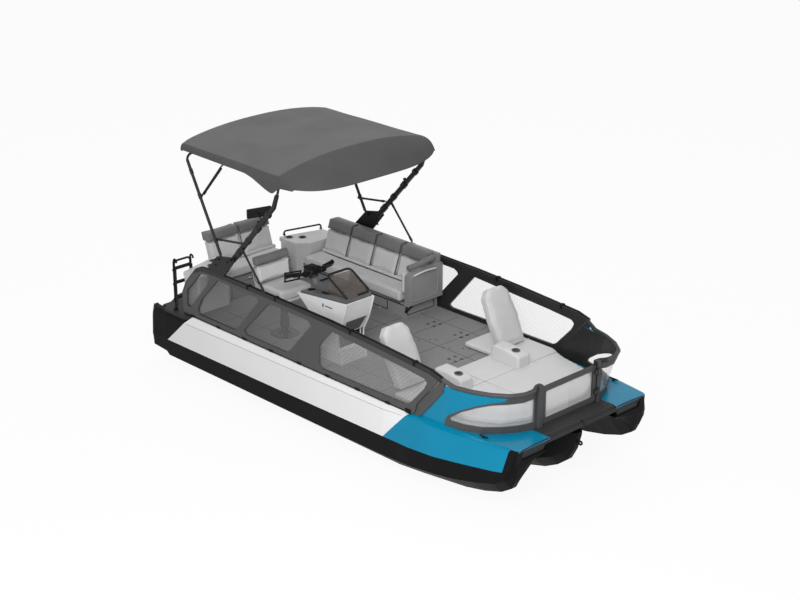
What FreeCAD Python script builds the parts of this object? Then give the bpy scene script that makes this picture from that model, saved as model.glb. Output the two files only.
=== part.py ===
import FreeCAD, Part
import math
import os

os.makedirs("parts", exist_ok=True)
V = FreeCAD.Vector
X_AXIS, Y_AXIS, Z_AXIS = V(1, 0, 0), V(0, 1, 0), V(0, 0, 1)

# Tri-hull pontoon boat, standing on its three keel strips.
# Millimetres. +X to the bow, +Y to port, +Z up, z = 0 under the keels, y = 0 on the centreline.

# Overall sizes
LENGTH = 5850
BEAM = 2490
BOW_X = LENGTH / 2
STERN_X = -LENGTH / 2
SIDE_Y = BEAM / 2
FAR_Y = SIDE_Y + 155
FRAME = LENGTH / 39
TYPED_FRAME = 150


def along(place):
    """A place along the boat, typed for deck frames 150 apart, moved with the real spacing FRAME."""
    return place / TYPED_FRAME * FRAME


def lengthwise(rows):
    """Rows whose first number is a place along the boat."""
    return [(along(row[0]), *row[1:]) for row in rows]


# Levels
HULL_TOP = 640
STERN_DECK_Z = 720
DECK_Z = 775
FLOOR_T = 30
FLOOR_Z = DECK_Z + FLOOR_T
RAIL_Z = 1460
SEAT_GAP = 0.3
SLIDE_FIT = 0.3
PIN_FIT = 0.05
CLEAR = 6

# Hulls
KEEL_Y = SIDE_Y - 295
KEEL_HALF = 35
TUNNEL_Y = SIDE_Y - 645
CENTRE_HALF = 360
NOSE_X = BOW_X - 20

# Side panels and bow shrouds
GUNWALE_Y = SIDE_Y - 73
DECK_HALF = SIDE_Y - 125
PANEL_AFT_LOW, PANEL_AFT_TOP = along(-2545), along(-2145)
PANEL_BOW_LOW, PANEL_BOW_TOP = along(1185), along(1525)
SHROUD_BOW_LOW, SHROUD_BOW_TOP = along(2786), along(2840)
SHROUD_T = 22
PANEL_LOW_Z = 400
SLAB_LOW, SLAB_TOP = 300, 900

# Deck ends
STERN_DECK_FWD = along(-2180)
STERN_DECK_T = 42
BOW_STEP_HALF = SIDE_Y - 719
BOW_STEP_AFT = along(2640)
BOW_STEP_T = 16
TILE_GROOVE = 6
TILE_X, TILE_Y = 450, 540
ANCHOR_R = 14
ANCHOR_SPACING = 100
ANCHOR_SPOTS = lengthwise([(915, 145), (479, 685), (31, 691)])

# Fence
FENCE_Y = SIDE_Y - 85
FENCE_T = 30
FENCE_RAIL_W = 48
FENCE_RAIL_H = 46
MESH_T = 5
SILL_H = 55
BOW_WALL_T = 30
POST_W = 55
GATE_HALF = BOW_STEP_HALF - 108
GATE_X = along(2700)
GATE_T = 32
GATE_LOW, GATE_TOP = 812, 1222
GATE_BAR = 52

# Seats
SEAT_TOP = 1140
SEAT_PAD_T = 120
LID_T = 18
SEAT_R = 25
BASE_IN_Y = SIDE_Y - 685
LOUNGE_FRONT_Y = SIDE_Y - 745
LOUNGE_WALL_Y = SIDE_Y - 150
LOUNGE_AFT_X, LOUNGE_FWD_X = along(-2085), along(-330)
LOUNGE_SEGMENTS = 4
SEAM = 8
BACK_LOW_Y, BACK_TOP_Y = SIDE_Y - 425, SIDE_Y - 285
BACK_T = 115
BACK_SPLIT_Z = 1395
BACK_TOP_Z = 1520
SHELL_OUT_Y = SIDE_Y - 137
BENCH_HALF = 500
BENCH_FRONT_X = along(-2330)
BENCH_BACK_X = BENCH_FRONT_X - 260
TABLE_Z = 1262
CUP_R, CUP_DEPTH = 42, 75
TABLE_OUT_Y = SHELL_OUT_Y - 2
TABLE_CUPS = lengthwise([(-2445, BENCH_HALF + 100), (-2330, BENCH_HALF + 220)])

# Helm seat
HELM_X, HELM_Y = along(-968), 505 - SIDE_Y
HELM_PLATE, HELM_PLATE_T = 300, 14
COLUMN_R = 45
HELM_SEAT_Z = 1300
HELM_CUSHION_T = 110
HELM_HALF = 245
HELM_BACK_H = 318

# Console
CONSOLE_IN_Y, CONSOLE_OUT_Y = 745 - SIDE_Y, 330 - SIDE_Y
CONSOLE_TOP_FWD_X = along(285)
CONSOLE_TOP_AFT_X = CONSOLE_TOP_FWD_X - 805
CONSOLE_FOOT_AFT_X, CONSOLE_FOOT_FWD_X = CONSOLE_TOP_FWD_X - 555, CONSOLE_TOP_FWD_X - 115
CONSOLE_TOP_AFT_Z, CONSOLE_TOP_FWD_Z = 1480, 1560
STEER_X, STEER_Y, STEER_Z = CONSOLE_TOP_AFT_X + 40, CONSOLE_IN_Y - 200, 1622
STEER_LEAN = 28
STEER_COLUMN_R = 22
DASH_RIM = 24
SCREEN_FOOT = (CONSOLE_TOP_FWD_X - 23, 1624)
SCREEN_TOP = (CONSOLE_TOP_FWD_X - 350, 1804)
BAR_HALF = 330
BAR_R = 15
SCREEN_T = 6
RAIL_R = 13

# Bow lounge
PAD_T = 62
PAD_TOP = FLOOR_Z + PAD_T
PAD_AFT_X, PAD_FWD_X = along(1180), along(2590)
PAD_LEG_X, PAD_LEG_Y = along(725), SIDE_Y - 775
PAD_SEAM = 6
BACKREST_FOOT_X = along(1235)
ARMREST_AFT_X = along(1270)
BACKREST_W = 470
BACKREST_T = 105
ARMREST_L, ARMREST_W, ARMREST_H = 420, 185, 175

# Sunshade
BRACKET_OUT_Y = FENCE_Y + 10
BRACKET_T = 20
ARM_OUT_Y = BRACKET_OUT_Y - BRACKET_T - CLEAR
ARM_PIN_R = 12
ARM_FOOT = (along(-1368), 1706)
ARM_BEND = (along(-635), 2505)
ARM_TOP = (along(-575), 2665)
ARM_W, ARM_T = 62, 30
AFT_FOOT = (along(-1594), 1655)
AFT_TOP = (along(-2190), 2745)
TUBE_R = 14
BRACE_R = 9
STAY_TOP = (along(-1178), 1885)
STAY_FOOT = (along(-815), 1482)
STAY_GAP = 9
MID_PIVOT = (along(-1958), 2318)
MID_TOP = (along(-1545), 2790)
LINK_AFT = (along(-1700), 1849)
LINK_FWD = (along(-1212), 1918)
CANOPY_T = 10
CANOPY_RIDGE_Y, CANOPY_HEM_Y = SIDE_Y - 177, SIDE_Y - 117
CANOPY_CROWN = 68
CANOPY_ROWS = (0, 400, 750, 990)
CANOPY_BOW = 190
CANOPY_HEM_Z = 2782
CANOPY_ROOF = lengthwise([(-2345, 2866, 0.4), (-2190, 2874, 0.9), (-1545, 2882, 1.0), (-900, 2890, 1.0),
                          (-562, 2894, 0.75)])
CANOPY_NOSE = lengthwise([(-440, 2805), (-415, 2692)])
CANOPY_HEM = lengthwise([(-600, 2745), (-700, 2652), (-745, 2652), (-1080, CANOPY_HEM_Z),
                         (-2250, CANOPY_HEM_Z)])

MIRROR_AT = (along(-1142), 317 - SIDE_Y, 2277)
MIRROR_TURN = 75
MIRROR_FOOT = (along(-866), 2253)
MIRROR_W, MIRROR_H, MIRROR_T = 300, 112, 34
MIRROR_STEM_R = 9

# Boarding ladder
LADDER_X = along(-2495)
LADDER_YS = (95 - SIDE_Y, 340 - SIDE_Y)
LADDER_R = 13
LADDER_Z = STERN_DECK_Z + STERN_DECK_T + 22
LADDER_TOP = 1382

# Jet drive
JET_Z = 175
PUMP_R, PUMP_BORE = 105, 80
TRANSOM_X = along(-2600)
HOUSING_X = TRANSOM_X - 80
OUTLET_X = TRANSOM_X - 112
SHAFT_R = 12
NOZZLE_X = TRANSOM_X - 165
NOZZLE_PIN_R = 8
OUTLET_R, OUTLET_BORE = 56, 50
BUCKET_X, BUCKET_Z = TRANSOM_X - 120, 178
ENGINE_BOX = (along(-1950), along(-1400), -210, 210, 170, 520)
DUCT_X = TRANSOM_X + 180
SHAFT_END_X = DUCT_X + 120
BUCKET_R = 176
BLADES = 4


def inboard(rows):
    """Plan curve given as places along the boat and distances inboard of SIDE_Y."""
    return [(along(x), SIDE_Y - inset) for x, inset in rows]


def points(pairs, place):
    return [place(a, b) for a, b in pairs]


def face_of(vectors):
    return Part.Face(Part.makePolygon(list(vectors) + [vectors[0]]))


def prism_xz(pairs, y0, y1):
    """Outline in X and Z, solid from y0 to y1."""
    return face_of(points(pairs, lambda a, b: V(a, y0, b))).extrude(V(0, y1 - y0, 0))


def prism_xy(pairs, z0, z1):
    """Outline in X and Y, solid from z0 to z1."""
    return face_of(points(pairs, lambda a, b: V(a, b, z0))).extrude(V(0, 0, z1 - z0))


def prism_yz(pairs, x0, x1):
    """Outline in Y and Z, solid from x0 to x1."""
    return face_of(points(pairs, lambda a, b: V(x0, a, b))).extrude(V(x1 - x0, 0, 0))


def rounded_face(pairs, radius, place):
    """Closed outline whose corners are arcs of the given radius, as far as its sides allow."""
    count = len(pairs)
    pts = [V(a, b, 0) for a, b in pairs]
    starts, mids, ends = [], [], []
    for i, corner in enumerate(pts):
        back = pts[i - 1] - corner
        ahead = pts[(i + 1) % count] - corner
        half = back.getAngle(ahead) / 2
        cut = min(radius / math.tan(half), back.Length * 0.45, ahead.Length * 0.45)
        r = cut * math.tan(half)
        b_unit, a_unit = back.normalize(), ahead.normalize()
        middle = (b_unit + a_unit).normalize()
        starts.append(corner + b_unit * cut)
        ends.append(corner + a_unit * cut)
        mids.append(corner + middle * (r / math.sin(half) - r))
    edges = []
    for i in range(count):
        edges.append(Part.Arc(*[place(p.x, p.y) for p in (starts[i], mids[i], ends[i])]).toShape())
        nxt = starts[(i + 1) % count]
        edges.append(Part.LineSegment(place(ends[i].x, ends[i].y), place(nxt.x, nxt.y)).toShape())
    return Part.Face(Part.Wire(edges))


def rounded_xz(pairs, radius, y0, y1):
    return rounded_face(pairs, radius, lambda a, b: V(a, y0, b)).extrude(V(0, y1 - y0, 0))


def rounded_xy(pairs, radius, z0, z1):
    return rounded_face(pairs, radius, lambda a, b: V(a, b, z0)).extrude(V(0, 0, z1 - z0))


def box(x0, x1, y0, y1, z0, z1):
    return Part.makeBox(x1 - x0, y1 - y0, z1 - z0, V(x0, y0, z0))


def mirrored(shape):
    return shape.mirror(V(0, 0, 0), Y_AXIS)


def both_sides(shape):
    return Part.makeCompound([shape, mirrored(shape)])


def loft(sections):
    wires = [Part.makePolygon(s + [s[0]]) for s in sections]
    return Part.makeLoft(wires, True, True)


def tube(route, radius, bend):
    """Round tube along straight runs joined by arcs."""
    pts = [V(*p) for p in route]
    parts, last = [], pts[0]
    for before, corner, after in zip(pts, pts[1:], pts[2:]):
        back, ahead = before - corner, after - corner
        half = back.getAngle(ahead) / 2
        cut = min(bend / math.tan(half), back.Length * 0.45, ahead.Length * 0.45)
        r = cut * math.tan(half)
        back.normalize()
        ahead.normalize()
        start, end = corner + back * cut, corner + ahead * cut
        normal = back.cross(ahead)
        centre = corner + (back + ahead).normalize() * (r / math.sin(half))
        disc = Part.Face(Part.Wire(Part.makeCircle(radius, start, back)))
        parts.append(Part.makeCylinder(radius, (start - last).Length, last, start - last))
        parts.append(disc.revolve(centre, normal, 2 * math.degrees(half) - 180))
        last = end
    parts.append(Part.makeCylinder(radius, (pts[-1] - last).Length, last, pts[-1] - last))
    return parts[0].fuse(parts[1:])


def rod(a, b, radius):
    start, end = V(*a), V(*b)
    return Part.makeCylinder(radius, (end - start).Length, start, end - start)


def fused(first, *others):
    return first.fuse(list(others)).removeSplitter() if others else first


# Hull stations, bow end last. Each row: place, keel height, then inset from SIDE_Y and height of the chine, the
# side and the crease, then the insets of the gunwale and the deck edge.
STATION_ROWS = lengthwise([
    (-2925, 190, 55, 300, 45, 345, 57, 600, 95, 145),
    (-2860, 110, 15, 235, 7, 372, 23, 640, 77, 125),
    (-2600, 60, 8, 222, 0, 385, 13, 684, 73, 125),
    (-2550, 0, 7, 185, 0, 385, 13, 684, 73, 125),
    (-465, 0, 7, 190, 0, 404, 13, 715, 73, 125),
    (1205, 0, 7, 200, 0, 427, 15, 735, 73, 125),
    (1589, 35, 10, 215, 2, 430, 55, 740, 114, 165),
    (1938, 75, 23, 245, 15, 447, 80, 745, 135, 195),
    (2200, 105, 50, 275, 40, 475, 105, 750, 157, 215),
    (2464, 160, 85, 320, 73, 503, 137, 755, 183, 245),
    (2700, 235, 127, 375, 117, 522, 175, 758, 210, 275),
    (2835, 320, 160, 440, 147, 540, 200, 760, 230, 295),
    (2885, 420, 195, 500, 183, 570, 215, 762, 237, 305),
    (2905, 560, 245, 590, 233, 615, 235, 764, 243, 315),
    (2925, 735, 251, 738, 249, 742, 248, 766, 249, 320),
])


def station(row):
    """A station's row with its insets turned into distances from the middle."""
    x, keel, chine_in, chine_z, side_in, side_z, crease_in, crease_z, gunwale_in, edge_in = row
    return (x, keel, SIDE_Y - chine_in, chine_z, SIDE_Y - side_in, side_z, SIDE_Y - crease_in, crease_z,
            SIDE_Y - gunwale_in, SIDE_Y - edge_in)


*STATIONS, BOW_TIP = [station(row) for row in STATION_ROWS]


def inner_top(x):
    """The inner face of an outer hull comes inboard to meet the bow step."""
    start = along(1938)
    return TUNNEL_Y if x < start else TUNNEL_Y - (TUNNEL_Y - BOW_STEP_HALF) * (x - start) / (NOSE_X - start)


def hull_outer():
    sections = []
    for x, keel, chine_y, chine_z, side_y, side_z, _, _, _, edge_y in STATIONS:
        low = min(keel + 300, HULL_TOP - 30)
        sections.append([
            V(x, inner_top(x), HULL_TOP),
            V(x, inner_top(x) + 130, low),
            V(x, KEEL_Y - KEEL_HALF, keel),
            V(x, KEEL_Y + KEEL_HALF, keel),
            V(x, chine_y, chine_z),
            V(x, side_y, side_z),
            V(x, edge_y, HULL_TOP),
        ])
    return loft(sections)


def side_skin():
    """Wedge-shaped skin over the outer hull's side, up to the gunwale."""
    sections = []
    for x, _, _, _, side_y, side_z, crease_y, crease_z, gunwale_y, edge_y in STATIONS + [BOW_TIP]:
        sections.append([
            V(x, side_y, side_z),
            V(x, crease_y, crease_z),
            V(x, gunwale_y, DECK_Z - 3),
            V(x, edge_y, DECK_Z - 3),
            V(x, edge_y, side_z if x > NOSE_X else HULL_TOP),
        ])
    return loft(sections)


def slant_slab(low_a, top_a, low_b, top_b):
    """Slab across the side, between two slanted planes."""
    outline = [(low_a, SLAB_LOW), (low_b, SLAB_LOW), (top_b, SLAB_TOP), (top_a, SLAB_TOP)]
    return prism_xz(outline, SIDE_Y - 745, FAR_Y)


def slant_line(low_x, top_x):
    """Where a slanted panel end, drawn from the side's knuckle to the deck, crosses the levels of the slab."""
    slope = (top_x - low_x) / (DECK_Z - PANEL_LOW_Z)
    return low_x - slope * (PANEL_LOW_Z - SLAB_LOW), top_x + slope * (SLAB_TOP - DECK_Z)


def side_pieces():
    skin = side_skin()
    aft = slant_line(PANEL_AFT_LOW, PANEL_AFT_TOP)
    mid = slant_line(PANEL_BOW_LOW, PANEL_BOW_TOP)
    bow = slant_line(SHROUD_BOW_LOW, SHROUD_BOW_TOP)
    stern_part = skin.common(slant_slab(STERN_X - 100, STERN_X - 100, *aft))
    stern_part = stern_part.cut(box(STERN_X, STERN_DECK_FWD + 200, 0, FAR_Y, STERN_DECK_Z, SLAB_TOP))
    panel = skin.common(slant_slab(*aft, *mid))
    shroud = skin.common(slant_slab(*mid, *bow))
    nose_part = skin.common(slant_slab(*bow, BOW_X + 100, BOW_X + 100))
    return stern_part, panel, shroud, nose_part


STERN_PART, SIDE_PANEL, SHROUD_SIDE, NOSE_PART = side_pieces()


def deck_edge():
    """Half outline of the deck, from the stern deck to the bow."""
    return [(s[0], s[9]) for s in STATIONS if s[0] > PANEL_BOW_LOW]


def hull_side():
    return fused(hull_outer(), STERN_PART, NOSE_PART).cut(shroud_top())


CENTRE_ROWS = lengthwise([
    # place, keel height, chine height and half-width, half-width at the top
    (-2600, 0, 190, 330, CENTRE_HALF),
    (1205, 0, 190, 330, CENTRE_HALF),
    (1938, 10, 200, 330, CENTRE_HALF),
    (2250, 45, 225, 305, 350),
    (2450, 100, 265, 245, 315),
    (2620, 185, 320, 165, 235),
    (2756, 290, 400, 95, 140),
    (2830, 430, 500, 58, 75),
    (2875, 590, 610, 40, 42),
])


def hull_centre():
    """Middle hull with its stem, hollowed for the engine, the intake duct and the shaft."""
    sections = []
    for x, keel, chine, chine_half, top_half in CENTRE_ROWS:
        sections.append([
            V(x, -top_half, HULL_TOP), V(x, -chine_half, chine), V(x, -KEEL_HALF, keel),
            V(x, KEEL_HALF, keel), V(x, chine_half, chine), V(x, top_half, HULL_TOP),
        ])
    hull = loft(sections)
    engine_room = box(*ENGINE_BOX[:5], ENGINE_BOX[5] + 60)
    duct = box(TRANSOM_X - 10, DUCT_X, -PUMP_BORE, PUMP_BORE, -10, JET_Z + PUMP_BORE)
    bearing = rod((DUCT_X - 1, 0, JET_Z), (SHAFT_END_X + CLEAR, 0, JET_Z), SHAFT_R + PIN_FIT)
    return hull.cut(Part.makeCompound([engine_room, duct, bearing]))


def engine():
    return box(*ENGINE_BOX)


def intake_grate():
    """Bars across the bottom of the intake duct."""
    low, high, bar = 14, 30, 10
    bars = [box(TRANSOM_X + 20, DUCT_X, y - bar / 2, y + bar / 2, low, high) for y in (-54, -27, 0, 27, 54)]
    cross = box(TRANSOM_X + 8, TRANSOM_X + 24, -PUMP_BORE, PUMP_BORE, low, high)
    return fused(cross, *bars)


def jet_pump():
    """Pump housing, venturi outlet, pivot arms for the nozzle and brackets for the bucket."""
    housing = rod((TRANSOM_X, 0, JET_Z), (HOUSING_X, 0, JET_Z), PUMP_R)
    cone = Part.makeCone(PUMP_R, OUTLET_R, HOUSING_X - OUTLET_X, V(HOUSING_X, 0, JET_Z), V(-1, 0, 0))
    outlet = rod((OUTLET_X, 0, JET_Z), (NOZZLE_X, 0, JET_Z), OUTLET_R)
    body = fused(housing, cone, outlet)
    throat_x = HOUSING_X + 10
    bore = rod((TRANSOM_X + 1, 0, JET_Z), (throat_x, 0, JET_Z), PUMP_BORE)
    throat = Part.makeCone(PUMP_BORE, OUTLET_BORE, throat_x - OUTLET_X, V(throat_x, 0, JET_Z), V(-1, 0, 0))
    way_out = rod((OUTLET_X, 0, JET_Z), (NOZZLE_X - 1, 0, JET_Z), OUTLET_BORE)
    body = body.cut(Part.makeCompound([bore, throat, way_out]))
    for sign in (1, -1):
        arm_z = sorted((JET_Z + sign * 90, JET_Z + sign * 102))
        arm = box(NOZZLE_X - 18, TRANSOM_X - 40, -18, 18, *arm_z)
        pin = rod((NOZZLE_X, 0, JET_Z + sign * 95), (NOZZLE_X, 0, JET_Z + sign * 70), NOZZLE_PIN_R)
        bracket_y = sorted((sign * 96, sign * 108))
        bracket = box(BUCKET_X - 22, TRANSOM_X - 20, *bracket_y, BUCKET_Z - 25, BUCKET_Z + 25)
        stub = rod((BUCKET_X, sign * 100, BUCKET_Z), (BUCKET_X, sign * 126, BUCKET_Z), NOZZLE_PIN_R)
        body = fused(body, arm, pin, bracket, stub)
    return body


def impeller():
    """Four blades on a hub, with the shaft that runs forward into the hull."""
    hub_r, blade_w, blade_t, blade_l = 24, 34, 8, 52
    hub = rod((TRANSOM_X, 0, JET_Z), (TRANSOM_X - 55, 0, JET_Z), hub_r)
    shaft = rod((TRANSOM_X - 50, 0, JET_Z), (SHAFT_END_X, 0, JET_Z), SHAFT_R)
    wheel = fused(hub, shaft)
    for i in range(BLADES):
        root = V(TRANSOM_X - 40, hub_r - 4, JET_Z - blade_w / 2)
        blade = Part.makeBox(blade_t, blade_l, blade_w, root)
        blade.rotate(V(TRANSOM_X - 36, 0, JET_Z), Y_AXIS, 35)
        blade.rotate(V(0, 0, JET_Z), X_AXIS, i * 360 / BLADES)
        wheel = fused(wheel, blade)
    return wheel


def steering_nozzle():
    """Tapered nozzle that turns on two pins round the pump's outlet."""
    mouth, tail, wall, length = 76, 56, 8, 100
    front_x = NOZZLE_X + 15
    shell = Part.makeCone(mouth, tail, length, V(front_x, 0, JET_Z), V(-1, 0, 0))
    bosses = rod((NOZZLE_X, 0, JET_Z - 84), (NOZZLE_X, 0, JET_Z + 84), 14)
    inside = Part.makeCone(mouth - wall, tail - wall, length, V(front_x, 0, JET_Z), V(-1, 0, 0))
    pin_way = rod((NOZZLE_X, 0, JET_Z - 90), (NOZZLE_X, 0, JET_Z + 90), NOZZLE_PIN_R + PIN_FIT)
    mouth_way = rod((front_x + 10, 0, JET_Z), (front_x, 0, JET_Z), mouth - wall)
    return fused(shell, bosses).cut(Part.makeCompound([inside, pin_way, mouth_way]))


def reverse_bucket():
    """Curved scoop on two side arms, raised above the nozzle at rest."""
    low_angle, high_angle, wall, half, plate_t = 42, 88, 8, 122, 8
    outer = rod((BUCKET_X, -half, BUCKET_Z), (BUCKET_X, half, BUCKET_Z), BUCKET_R + wall)
    inner = rod((BUCKET_X, -half - 1, BUCKET_Z), (BUCKET_X, half + 1, BUCKET_Z), BUCKET_R)

    def at(angle, radius):
        a = math.radians(angle)
        return BUCKET_X - radius * math.cos(a), BUCKET_Z + radius * math.sin(a)

    reach = 400
    far = [at(a, reach) for a in (low_angle, (low_angle + high_angle) / 2, high_angle)]
    scoop = outer.cut(inner).common(prism_xz([(BUCKET_X, BUCKET_Z)] + far, -half, half))
    arms = []
    for side in (1, -1):
        y0, y1 = sorted((side * (half - plate_t), side * half))
        plate = prism_xz([
            (BUCKET_X + 22, BUCKET_Z - 18), (BUCKET_X - 22, BUCKET_Z - 18), at(low_angle, BUCKET_R + 3),
            at(high_angle, BUCKET_R + 3), (BUCKET_X + 22, BUCKET_Z + 18),
        ], y0, y1)
        hole = rod((BUCKET_X, y0 - 1, BUCKET_Z), (BUCKET_X, y1 + 1, BUCKET_Z), NOZZLE_PIN_R + PIN_FIT)
        arms.append(plate.cut(hole))
    return fused(scoop, *arms)


def deck_frame():
    """Structural deck over the three hulls, lower under the stern deck, thinner towards the bow's lip."""
    edge = [p for p in deck_edge() if along(1205) < p[0] < BOW_STEP_AFT]
    outline = [(STERN_DECK_FWD, DECK_HALF), (along(1205), DECK_HALF), *edge, (BOW_STEP_AFT, SIDE_Y - 270)]
    top = prism_xy(outline + [(x, -y) for x, y in reversed(outline)], HULL_TOP, DECK_Z)
    stern_half = [(STERN_X + 90, SIDE_Y - 155), (STERN_DECK_FWD, SIDE_Y - 127)]
    stern = prism_xy(stern_half + [(x, -y) for x, y in reversed(stern_half)], HULL_TOP, STERN_DECK_Z)
    lip_x = BOW_X - 12
    bow_half = [(BOW_STEP_AFT, SIDE_Y - 275), (GATE_X, SIDE_Y - 277), (along(2835), SIDE_Y - 300),
                (lip_x, SIDE_Y - 320)]
    bow = prism_xy(bow_half + [(x, -y) for x, y in reversed(bow_half)], HULL_TOP, DECK_Z - SHROUD_T)
    under_lip = prism_xz([(GATE_X, HULL_TOP - 1), (BOW_X, HULL_TOP - 1), (BOW_X, DECK_Z - 57)], -SIDE_Y, SIDE_Y)
    return fused(top, stern, bow.cut(under_lip))


FLOOR_HALF = FENCE_Y - FENCE_T - 12
FLOOR_EDGE = [(STERN_DECK_FWD, FLOOR_HALF), *inboard([(1560, 127), (1760, 205), (2160, 285), (2480, 485)])]


def floor_tiles():
    """Tiled floor with its joints and the holes of the anchor plates."""
    outline = FLOOR_EDGE + [(BOW_STEP_AFT, BOW_STEP_HALF - 60)]
    plate = prism_xy(outline + [(x, -y) for x, y in reversed(outline)], DECK_Z, FLOOR_Z)
    groove_z = FLOOR_Z - 4
    cuts = []
    x = STERN_DECK_FWD + TILE_X
    while x < PAD_AFT_X:
        cuts.append(box(x, x + TILE_GROOVE, -SIDE_Y, SIDE_Y, groove_z, FLOOR_Z + 1))
        x += TILE_X
    for k in (-1.5, -0.5, 0.5, 1.5):
        y = k * TILE_Y
        cuts.append(box(STERN_DECK_FWD - 1, PAD_AFT_X, y, y + TILE_GROOVE, groove_z, FLOOR_Z + 1))
    half = ANCHOR_SPACING / 2
    for ax, ay in ANCHOR_SPOTS:
        for dx in (-half, half):
            for dy in (-half, half):
                cuts.append(rod((ax + dx, ay + dy, FLOOR_Z - 20), (ax + dx, ay + dy, FLOOR_Z + 1), ANCHOR_R))
    return plate.cut(Part.makeCompound(cuts)).cut(both_sides(bow_wall()))


def swim_platform():
    """Dark grooved stern deck with its cut corners."""
    top = STERN_DECK_Z + STERN_DECK_T
    half = [(STERN_DECK_FWD, SIDE_Y - 127), *inboard([(-2258, 37), (-2645, 37), (-2893, 441)]),
            (STERN_X + 8, SIDE_Y - 685)]
    plate = rounded_xy(half + [(x, -y) for x, y in reversed(half)], 40, STERN_DECK_Z, top)
    x0, x1 = STERN_X + 65, STERN_DECK_FWD - 60
    grooves = [box(x0, x1, y, y + 10, top - 5, top + 1) for y in range(-700, 701, 100)]
    return plate.cut(Part.makeCompound(grooves)).cut(both_sides(SIDE_PANEL))


def bow_step():
    """Dark boarding step between the two bow shrouds, with its double front lip."""
    y = BOW_STEP_HALF
    profile = [
        (BOW_STEP_AFT, DECK_Z - SHROUD_T), (BOW_X - 12, DECK_Z - SHROUD_T), (BOW_X - 12, DECK_Z - 52),
        (BOW_X, DECK_Z - 52), (BOW_X, DECK_Z - 12), (BOW_X - 22, DECK_Z - 12),
        (BOW_X - 30, DECK_Z + BOW_STEP_T), (BOW_STEP_AFT, DECK_Z + BOW_STEP_T),
    ]
    step = prism_xz(profile, -y, y)
    notch = box(BOW_X - 40, BOW_X + 5, -22, 22, DECK_Z - 60, DECK_Z + 40)
    grooves = [box(BOW_STEP_AFT + 110 + 45 * i, BOW_STEP_AFT + 116 + 45 * i, -y + 40, y - 40,
                   DECK_Z + BOW_STEP_T - 4, DECK_Z + 40) for i in range(3)]
    return step.cut(Part.makeCompound([notch] + grooves))


# Plan of the bow wall: foot on the gunwale, rail flared outward above it, starboard sign flipped later.
WALL_END_Y = GATE_HALF + POST_W + 22
WALL_FOOT = inboard([(1560, 123), (1990, 147), (2209, 183), (2390, 270), (2530, 407), (2630, 565), (2680, 685)])
WALL_FOOT.append((GATE_X, WALL_END_Y))
WALL_RAIL = inboard([(1960, 107), (2120, 135), (2314, 183), (2510, 270), (2665, 390), (2735, 530), (2738, 655)])
WALL_RAIL.append((GATE_X, WALL_END_Y))
WALL_LOW_Z = DECK_Z + 3
WALL_TOP_Z = 1225


def offset_inward(plan, distance):
    """Copies a plan curve towards the inside of the boat."""
    out = []
    for i, (x, y) in enumerate(plan):
        ax, ay = plan[max(i - 1, 0)]
        bx, by = plan[min(i + 1, len(plan) - 1)]
        dx, dy = bx - ax, by - ay
        size = math.hypot(dx, dy)
        out.append((x + dy / size * distance, y - dx / size * distance))
    return out


def strip(plan, z, thickness):
    """Closed band of a plan curve at one level: the curve, then its inner copy backwards."""
    inner = offset_inward(plan, thickness)
    return [V(x, y, z) for x, y in plan] + [V(x, y, z) for x, y in reversed(inner)]


def wall_between(foot, rail, first):
    """Upright wall between two bands, built from its panels, starting at a given one."""
    count = len(foot) // 2
    panels = []
    for i in range(first, count - 1):
        ends = (i, i + 1, 2 * count - 2 - i, 2 * count - 1 - i)
        panels.append(loft([[ring[k] for k in ends] for ring in (foot, rail)]))
    return fused(panels[0], *panels[1:])


def bow_wall():
    """Flared wall that carries the bow rail, port side."""
    return wall_between(strip(WALL_FOOT, WALL_LOW_Z, BOW_WALL_T), strip(WALL_RAIL, WALL_TOP_Z, BOW_WALL_T), 0)


WINDOW_SIDE = lengthwise([(2040, 852), (2330, 852), (2560, 862), (2900, 868), (2900, 1150), (2640, 1150),
                          (2500, 1128), (2360, 1072), (2200, 992), (2060, 892)])
WINDOW_END_Y = GATE_HALF + POST_W + 45
SHROUD_WALL = lengthwise([(1400, 700), (1975, 760), (1995, 850), (2040, 912), (2190, 1010), (2350, 1092),
                          (2490, 1150), (2620, 1185), (2700, 1300), (1400, 1300)])


def teardrop():
    """Cutter with the shape of the bow corner's window, in front of the shroud and up to the gate post."""
    window = rounded_xz(WINDOW_SIDE, 25, 0, FAR_Y)
    return window.common(box(0, BOW_X, WINDOW_END_Y, FAR_Y, DECK_Z, WALL_TOP_Z))


def bow_rail():
    """Round rail on top of the bow wall, from the fence to the gate post."""
    z = WALL_TOP_Z + 22
    route = [(x, y - BOW_WALL_T / 2, z) for x, y in WALL_RAIL[1:-1]]
    route.insert(0, (along(1930), FENCE_Y - 18, 1318))
    route.append((GATE_X - 14, GATE_HALF + POST_W + 10, z))
    return tube(route, 24, 120)


def gate_post():
    return box(GATE_X - 30, GATE_X + 30, GATE_HALF + CLEAR, GATE_HALF + CLEAR + POST_W, DECK_Z + BOW_STEP_T,
               WALL_TOP_Z + 40)


def bow_corner():
    """Dark corner frame round the teardrop window, with its rail and gate post."""
    dark = bow_wall().cut(prism_xz(SHROUD_WALL, 0, FAR_Y)).cut(teardrop())
    corner = fused(dark, bow_rail(), gate_post()).cut(fence_side()).cut(bow_step())
    return max(corner.Solids, key=lambda solid: solid.Volume)


HINGE_X, HINGE_Y, HINGE_R = GATE_X + 44, GATE_HALF + 3, 12
HINGE_LEVELS = (900, 1130)
KNUCKLE = 50


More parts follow.
